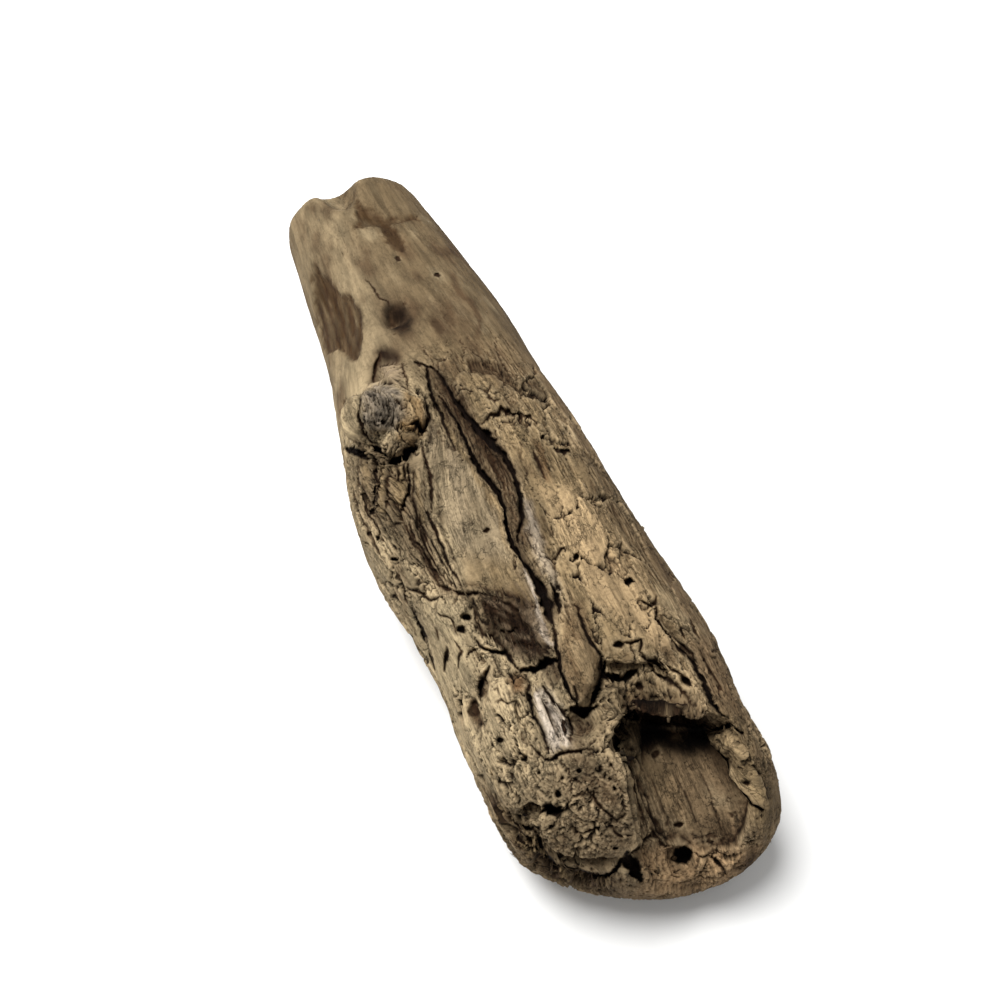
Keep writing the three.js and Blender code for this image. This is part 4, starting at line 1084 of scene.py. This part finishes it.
def traced_relief(photo, unrolled):
    """Depths of the cracks and holes, and heights of the ridges and patches, at every point of the skin."""
    depths = np.zeros(len(photo.weight))
    heights = np.zeros(len(photo.weight))
    for height, reach, route in RIDGES.values():
        raise_ridge(heights, photo, height, reach, route)
    for depth, outline in SHED_PATCHES.values():
        shed_patch(heights, photo, depth, outline)
    for width, depth, route in CRACKS.values():
        cut_crack(depths, photo, width, depth, route, CRACK_WALL_PIXELS)
    for across, down, half_width, half_height, depth in PITS.values():
        cut_pit(depths, photo, (across, down), half_width, half_height, depth)
    random = np.random.default_rng(SEED)
    for middle in WORM_HOLES:
        half_width, half_height = random.uniform(*WORM_HOLE_PIXELS, 2)
        cut_pit(depths, photo, middle, half_width, half_height, random.uniform(*WORM_HOLE_DEPTHS))
    weather_checks(depths, unrolled, random)
    return depths, heights


def grain_flow(points, outward):
    """The points drawn aside, so that a grain that runs straight through them flows round the stub."""
    away = points - KNOT
    around = np.cross([0, 1, 0], outward)
    around /= np.maximum(np.linalg.norm(around, axis=1, keepdims=True), 1e-6)
    sideways = np.sum(away * around, axis=1)
    pull = -sideways * KNOT_REACH ** 2 / (sideways ** 2 + (0.6 * away[:, 1]) ** 2 + 12)
    return points + pull[:, None] * around


def brow_drop(photo):
    """How far each point of the brow hangs down, in millimetres."""
    drop = np.zeros(len(photo.weight))
    for most, reach, route in HANGING.values():
        which = photo.near(route, 3 * reach)
        distance, _ = photo.measure(route, which)
        drop[which] += most * np.exp(-((distance / reach) ** 2)) * photo.weight[which]
    return drop


class Weathering:
    """Where each point of the skin lies, how the photograph shows it, and what the wood is like there."""

    def __init__(self, mesh):
        self.skin = Skin(mesh)
        self.points = self.skin.points
        self.outward = self.skin.read(mesh, "outward")
        self.along = self.points[:, 1]
        self.height = self.points[:, 2]
        heart = np.interp(self.along, *np.array(HEART_LINE).T)
        from_heart = np.stack([self.points[:, 0] - heart, self.height - HEART_HEIGHT], axis=1)
        self.turn = np.degrees(np.arctan2(*from_heart.T))
        self.photo = photo_chart(self.skin, self.points, self.outward)
        self.hidden = 1 - np.clip(2 * self.photo.weight, 0, 1)
        unrolled = skin_chart(self.along, self.turn, self.points, self.hidden)
        self.depths, self.heights = traced_relief(self.photo, unrolled)
        self.flow = grain_flow(self.points, self.outward)

        self.zones = {name: zone_share(self.photo, *zone) for name, zone in ZONES.items()}
        from_middle = np.linalg.norm(from_heart / HOLLOW_RADII, axis=1)
        self.inside = smoothstep(0.86, 0.7, from_middle) * smoothstep(-40, -50, self.along)
        self.water_worn = smoothstep(WATER_WORN_FROM, WATER_WORN_TO, self.along)
        self.resting = smoothstep(0.3, 1.5, self.height)
        self.near_foot = smoothstep(-80, -94, self.along) * smoothstep(26, 14, self.height)
        self.end_on = smoothstep(0.75, 0.95, np.abs(self.outward[:, 1]))
        self.fibrous = np.clip(sum(self.zones[name] for name in FIBROUS_ZONES), 0, 1)
        clean = 0.6 * (self.zones["upper plate"] + self.zones["middle plate"])
        smooth_wall = self.inside * (1 - self.zones["ledge"])
        smooth = sum(self.zones[name] for name in SMOOTH_ZONES)
        self.smooth_face = np.clip(smooth + clean + smooth_wall, 0, 1)


def store_grain(mesh, wood):
    """The places that patterns along the grain are read at, with the grain drawn out along the log."""
    flattened = wood.zones["floor"] + wood.zones["slope"] + wood.zones["front"] + wood.inside
    grain = wood.flow / (1, GRAIN_STRETCH, 1)
    grain[:, 2] *= 1 - 0.9 * np.clip(flattened, 0, 1)
    set_attribute(mesh, "grain", grain, "FLOAT_VECTOR")
    set_attribute(mesh, "flow", wood.flow, "FLOAT_VECTOR")


def store_relief(mesh, wood):
    """How high the traced relief stands, how far the cuts go in, and how strong each kind of texture is."""
    zones = wood.zones
    sight = photo_places(wood.points)[2]
    sight /= np.linalg.norm(sight, axis=1, keepdims=True)
    inward = (1 - wood.hidden)[:, None] * sight - wood.hidden[:, None] * wood.outward
    drop = brow_drop(wood.photo)
    shift = inward * (wood.depths * wood.resting)[:, None] - drop[:, None] * camera_directions()[1]
    set_attribute(mesh, "carve", wood.heights * wood.resting * MM)
    set_attribute(mesh, "cut", shift * MM, "FLOAT_VECTOR")

    patchy = smoothstep(-0.5, 0.6, layered_noise(wood.points / (7, 16, 7), SEED + 10))
    fibre = (0.3 + 0.6 * patchy) * (1 - 0.6 * wood.water_worn) * (1 - 0.7 * wood.smooth_face)
    worn_end = wood.end_on * wood.water_worn
    fibre = (fibre + 0.7 * wood.fibrous) * (1 - 0.8 * worn_end)
    ridges = wood.fibrous - 0.6 * zones["lips"] + 0.25 * zones["splinter"]
    ridges += 0.25 * wood.hidden * (1 - worn_end)
    ridges = np.clip(ridges + 0.4 * zones["callus"] + 0.5 * zones["dark fibres"], 0, 1.5)
    uneven = smoothstep(-0.6, 0.5, layered_noise(wood.points / 12, SEED + 8))
    plate = (1 - wood.water_worn) * (1 - wood.smooth_face) * (1 - wood.fibrous) * (0.35 + 0.65 * uneven)
    crumble = 0.05 + 0.45 * smoothstep(-58, -80, wood.along) * (0.5 + 0.5 * uneven)
    crumble = np.clip(crumble + 0.6 * zones["near mass"] + 0.9 * zones["ledge"], 0, 1.2)
    crumble *= (1 - 0.8 * wood.water_worn) * (1 - 0.9 * wood.smooth_face) * (1 - 0.6 * wood.fibrous)
    crumble += 0.8 * zones["front"] + 0.7 * zones["left wall"] + 0.6 * zones["rim"]
    crumble += 0.6 * zones["stub"] + 0.8 * zones["neck"] + 0.6 * wood.near_foot
    for name, strength in (("fibre", fibre), ("ridges", ridges), ("plate", plate), ("crumble", crumble)):
        set_attribute(mesh, name, strength * wood.resting)


def store_scatter(mesh, wood):
    """Where slivers and crumbs lie thickest, and which way the slivers run."""
    zones = wood.zones
    end_on = wood.end_on[:, None]
    run = (1 - end_on) * np.array([0, 1, 0]) - end_on * np.array([0, 0, 1])
    run -= wood.outward * np.sum(run * wood.outward, axis=1, keepdims=True)
    run /= np.maximum(np.linalg.norm(run, axis=1, keepdims=True), 0.05)
    slivers = 0.01 + wood.fibrous - zones["lips"] - zones["callus"] - zones["front"]
    crumbs = 0.08 * zones["near mass"] + 0.3 * zones["ledge"]
    crumbs += 0.1 * zones["front"] + 0.5 * zones["left wall"]
    off_floor = smoothstep(3, 8, wood.height) * (1 - wood.water_worn)
    uncut = 1 - smoothstep(0.2, 0.8, wood.depths)
    set_attribute(mesh, "run", run, "FLOAT_VECTOR")
    set_attribute(mesh, "slivers", np.maximum(slivers, 0) * off_floor * uncut)
    set_attribute(mesh, "crumbs", crumbs * off_floor * uncut)


def draw_lines(tints, photo):
    """Strands and lines of another colour, ragged and faded at their ends."""
    for colour, strength, half_width, route in LINES.values():
        which = photo.near(route, 2 * half_width + 2)
        distance, progress = photo.measure(route, which)
        ends = smoothstep(0, 0.08, progress) * smoothstep(0, 0.08, 1 - progress)
        share = np.zeros(len(photo.weight))
        share[which] = smoothstep(half_width + 1, half_width - 1, distance + photo.ragged[which]) * ends
        mix(tints, colour, strength * share * photo.weight)


def wood_tints(mesh, wood):
    """Colour of every point: bare wood, worn edges partly with painted highlight, stains and painted shadow,
    hollows and cracks darkened partly by grime and partly as painted shade, lines, and the painted shade of
    the cave.
    """
    photo = wood.photo
    zones = wood.zones
    narrow = wood.skin.read(mesh, "Narrow Hollow", 1) / MM
    wide = wood.skin.read(mesh, "Wide Hollow", 1) / MM
    tints = base_tints(wood.points, wood.along, wood.turn)
    # Ridges and raised edges are drawn towards pale cream by how far they stand proud: partly wear and
    # bleaching, partly painted highlight
    mix(tints, HIGHLIGHT_AND_WEAR_CREAM, 0.35 * smoothstep(0.02, 0.16, -narrow) + 0.2 * smoothstep(0.1, 0.6, -wide))
    streaky = 1 + 0.35 * layered_noise(wood.flow / (1.3, 13, 1.3), SEED + 9)
    for colour, strength, softness, outline in STAINS.values():
        mix(tints, colour, strength * streaky * zone_share(photo, softness, outline))
    pale_fibres = smoothstep(0.1, 0.5, layered_noise(wood.flow / (0.9, 14, 0.9), SEED + 12))
    mix(tints, TAN, 0.7 * pale_fibres * zones["dark fibres"])
    plate_light = 0.84 + 0.32 * wood.skin.read(mesh, "plate_level", 1)
    tints *= plate_light[:, None] ** (1 - wood.water_worn)[:, None]

    # Hollows of the skin are darkened, wide ones to brown and narrow ones to brown and near black, less on
    # the front face: partly grime, partly painted shade where little light reaches
    lit = 1 - 0.6 * zones["front"]
    mix(tints, STAIN_BROWN, 0.6 * lit * smoothstep(0.0, 0.4, wide))
    mix(tints, ROT_BROWN, 0.8 * lit * smoothstep(0.2, 0.9, wide))
    mix(tints, ROT_BROWN, 0.8 * lit * smoothstep(0.02, 0.12, narrow))
    mix(tints, SHADE_AND_ROT_BLACK, 0.9 * smoothstep(0.08, 0.26, narrow))
    draw_lines(tints, photo)
    specks = smoothstep(0.1, 0.5, layered_noise(wood.points / 0.9, SEED + 11, 2))
    mix(tints, SHADE_AND_ROT_BLACK, 0.6 * specks * zone_share(photo, *STAINS["end of the stub"][2:]))
    mix(tints, ROT_BROWN, 0.15 * wood.near_foot)
    # The far inside of the hollow that the camera doesn't see, and the cave's marked zone, are painted near
    # black and darkened further: painted shade of the cave
    cave = wood.inside * smoothstep(-82, -75, wood.along)
    cave_painted_shade = np.maximum(cave * wood.hidden, zones["painted shade of the cave"])
    # Cuts are darkened by their depth, brown then near black: partly dirt in the cracks and holes, partly
    # painted shade in them
    mix(tints, ROT_BROWN, 0.75 * smoothstep(0.15, 0.9, wood.depths))
    mix(tints, SHADE_AND_ROT_BLACK, np.maximum(0.95 * smoothstep(0.7, 2.4, wood.depths), 0.98 * cave_painted_shade))
    tints *= (1 - 0.7 * cave_painted_shade)[:, None]
    return tints * TINT_BALANCE


def carved_log():
    piece = fine_skin()
    wood = Weathering(piece.data)
    store_grain(piece.data, wood)
    store_relief(piece.data, wood)
    store_scatter(piece.data, wood)
    weathered_relief(piece)
    tints = wood_tints(piece.data, wood)
    opaque = np.ones((len(tints), 1))
    set_attribute(piece.data, "tint", np.concatenate([tints, opaque], axis=1), "FLOAT_COLOR")

    unseen = wood.skin.smoothed(wood.hidden, 20) > 0.6
    unseen_triangles = 2 * len(piece.data.polygons) * unseen.mean()
    thin_out(piece, np.flatnonzero(unseen).tolist(), unseen_triangles - UNSEEN_TRIANGLES)
    every_point = list(range(len(piece.data.vertices)))
    thin_out(piece, every_point, triangles_of(piece.data) - MOST_TRIANGLES)
    piece.data.polygons.foreach_set("use_smooth", np.ones(len(piece.data.polygons), bool))
    piece.data.update()
    return piece


def drop_attributes(piece):
    """Leaves a piece only the attributes that its material reads, and that one material."""
    attributes = piece.data.attributes
    spare = [each.name for each in attributes if not (each.is_required or each.is_internal)]
    for name in spare:
        if name not in ("tint", "grain", "flow"):
            attributes.remove(attributes[name])
    piece.data.materials.clear()
    piece.data.materials.append(weathered_wood)


def scattered_piece(log, name, where, sizes, shape_kind, shape, lean):
    """Many copies of one small shape on the skin, thickest where the attribute `where` is high."""
    piece = link_to_scene(name, log.data.copy())
    wiring, given = geometry_tree(name, sizes)

    def draw(low, high, seed):
        inputs = {2: low, 3: high, "Seed": seed}
        return wiring.node("FunctionNodeRandomValue", inputs, data_type="FLOAT").outputs[1]

    scatter = wiring.node("GeometryNodeDistributePointsOnFaces", {
        "Mesh": given["Geometry"], "Density": wiring.product(wiring.attribute(where), given["Density"]),
        "Seed": given["Seed"]})
    normal = scatter.outputs["Normal"]
    sunk = wiring.vector("SCALE", normal, wiring.product(given["Sunk"], -1.0))
    spots = wiring.moved(scatter.outputs["Points"], {"Offset": sunk})
    shade = wiring.vector("SCALE", wiring.attribute("tint", "FLOAT_COLOR"), draw(0.6, 1.2, 1))
    spots = wiring.keep(spots, "tint", shade, "FLOAT_COLOR")
    stray = wiring.node("ShaderNodeCombineXYZ", {
        0: draw(-lean, lean, 2), 1: draw(-lean, lean, 3), 2: draw(-lean, lean, 4)}).outputs[0]
    way = wiring.vector("ADD", wiring.attribute("run", "FLOAT_VECTOR"), stray)
    way = wiring.vector("ADD", way, wiring.vector("SCALE", normal, draw(0.0, lean, 5)))
    turned = wiring.node("FunctionNodeAlignRotationToVector", {"Vector": way}, axis="Z").outputs[0]
    inputs = {"Rotation": turned, "Vector": normal}
    turned = wiring.node("FunctionNodeAlignRotationToVector", inputs, axis="X", pivot_axis="Z").outputs[0]
    scale = wiring.node("ShaderNodeCombineXYZ", {
        0: wiring.product(given["Thickness"], draw(0.6, 1.4, 6)),
        1: wiring.product(given["Width"], draw(0.5, 1.5, 7)),
        2: wiring.product(given["Length"], draw(0.4, 1.6, 8))}).outputs[0]
    copies = wiring.node("GeometryNodeInstanceOnPoints", {
        "Points": spots, "Instance": wiring.node(shape_kind, shape).outputs["Mesh"],
        "Rotation": turned, "Scale": scale}).outputs[0]
    whole = wiring.node("GeometryNodeRealizeInstances", {"Geometry": copies}).outputs[0]
    place = wiring.vector("SCALE", wiring.node("GeometryNodeInputPosition").outputs[0], 1 / MM)
    whole = wiring.keep(whole, "flow", place, "FLOAT_VECTOR")
    stretched = wiring.vector("MULTIPLY", place, (1.0, 1 / GRAIN_STRETCH, 1.0))
    whole = wiring.keep(whole, "grain", stretched, "FLOAT_VECTOR")
    run_tree(wiring, whole, piece, sizes)
    drop_attributes(piece)
    return piece


def slivers_of(log):
    """Split fibres that stand a little off the wood along its grain."""
    sizes = {
        "Density": 0.4 / MM ** 2, "Length": 1.9 * MM, "Width": 0.36 * MM, "Thickness": 0.2 * MM,
        "Sunk": 0.1 * MM, "Seed": SEED,
    }
    shape = {"Vertices": 5, "Side Segments": 2, "Radius Top": 0.12, "Radius Bottom": 0.5, "Depth": 1.0}
    return scattered_piece(log, "driftwood_slivers", "slivers", sizes, "GeometryNodeMeshCone", shape, 0.14)


def crumbs_of(log):
    """Crumbs of rotten wood round the hollow and on the near mass."""
    sizes = {
        "Density": 0.45 / MM ** 2, "Length": 0.9 * MM, "Width": 0.6 * MM, "Thickness": 0.34 * MM,
        "Sunk": 0.12 * MM, "Seed": SEED + 1,
    }
    shape = {"Vertices": 5, "Side Segments": 1, "Radius Top": 0.6, "Radius Bottom": 0.9, "Depth": 1.0}
    return scattered_piece(log, "driftwood_crumbs", "crumbs", sizes, "GeometryNodeMeshCone", shape, 1.2)


def studio():
    """Pale floor, one large soft light from behind and to the left, and an even pale surround."""
    floor = bmesh.new()
    bmesh.ops.create_grid(floor, x_segments=1, y_segments=1, size=4)
    mesh = bpy.data.meshes.new("floor")
    floor.to_mesh(mesh)
    floor.free()
    mesh.materials.append(plain_material("pale_floor", (0.9, 0.9, 0.89), 0.9))
    link_to_scene("floor", mesh)

    panel = bpy.data.lights.new("soft panel", "AREA")
    panel.shape = "DISK"
    panel.size = 0.5
    panel.energy = 11
    lamp = link_to_scene("soft panel", panel)
    lamp.location = (-0.2, 0.22, 0.8)
    aim = np.array([0, 0, 0.02]) - np.array(lamp.location)
    tip = math.atan2(math.hypot(aim[0], aim[1]), -aim[2])
    lamp.rotation_euler = (tip, 0, math.atan2(aim[0], -aim[1]) + math.pi)

    surround = bpy.data.worlds.new("pale surround")
    surround.use_nodes = True
    background = surround.node_tree.nodes["Background"]
    background.inputs["Color"].default_value = (1, 1, 1, 1)
    background.inputs["Strength"].default_value = 0.42
    bpy.context.scene.world = surround
    bpy.context.scene.view_settings.view_transform = "Standard"


def photo_camera():
    right, up, back = camera_directions()
    lens = bpy.data.cameras.new("photo camera")
    lens.sensor_width = 36
    lens.lens = lens.sensor_width * FOCAL_PIXELS / FRAME_PIXELS
    lens.clip_start = 0.01
    camera = link_to_scene("photo camera", lens)
    place = (np.array(CAMERA_TARGET) + CAMERA_DISTANCE * back) * MM
    columns = [(*right, 0), (*up, 0), (*back, 0), (*place, 1)]
    camera.matrix_world = Matrix(columns).transposed()
    bpy.context.scene.camera = camera


weathered_wood = weathered_wood_material()
log = carved_log()
pieces = [log, slivers_of(log), crumbs_of(log)]
drop_attributes(log)
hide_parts("driftwood")
for piece in pieces:
    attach(piece, "root")
studio()
photo_camera()
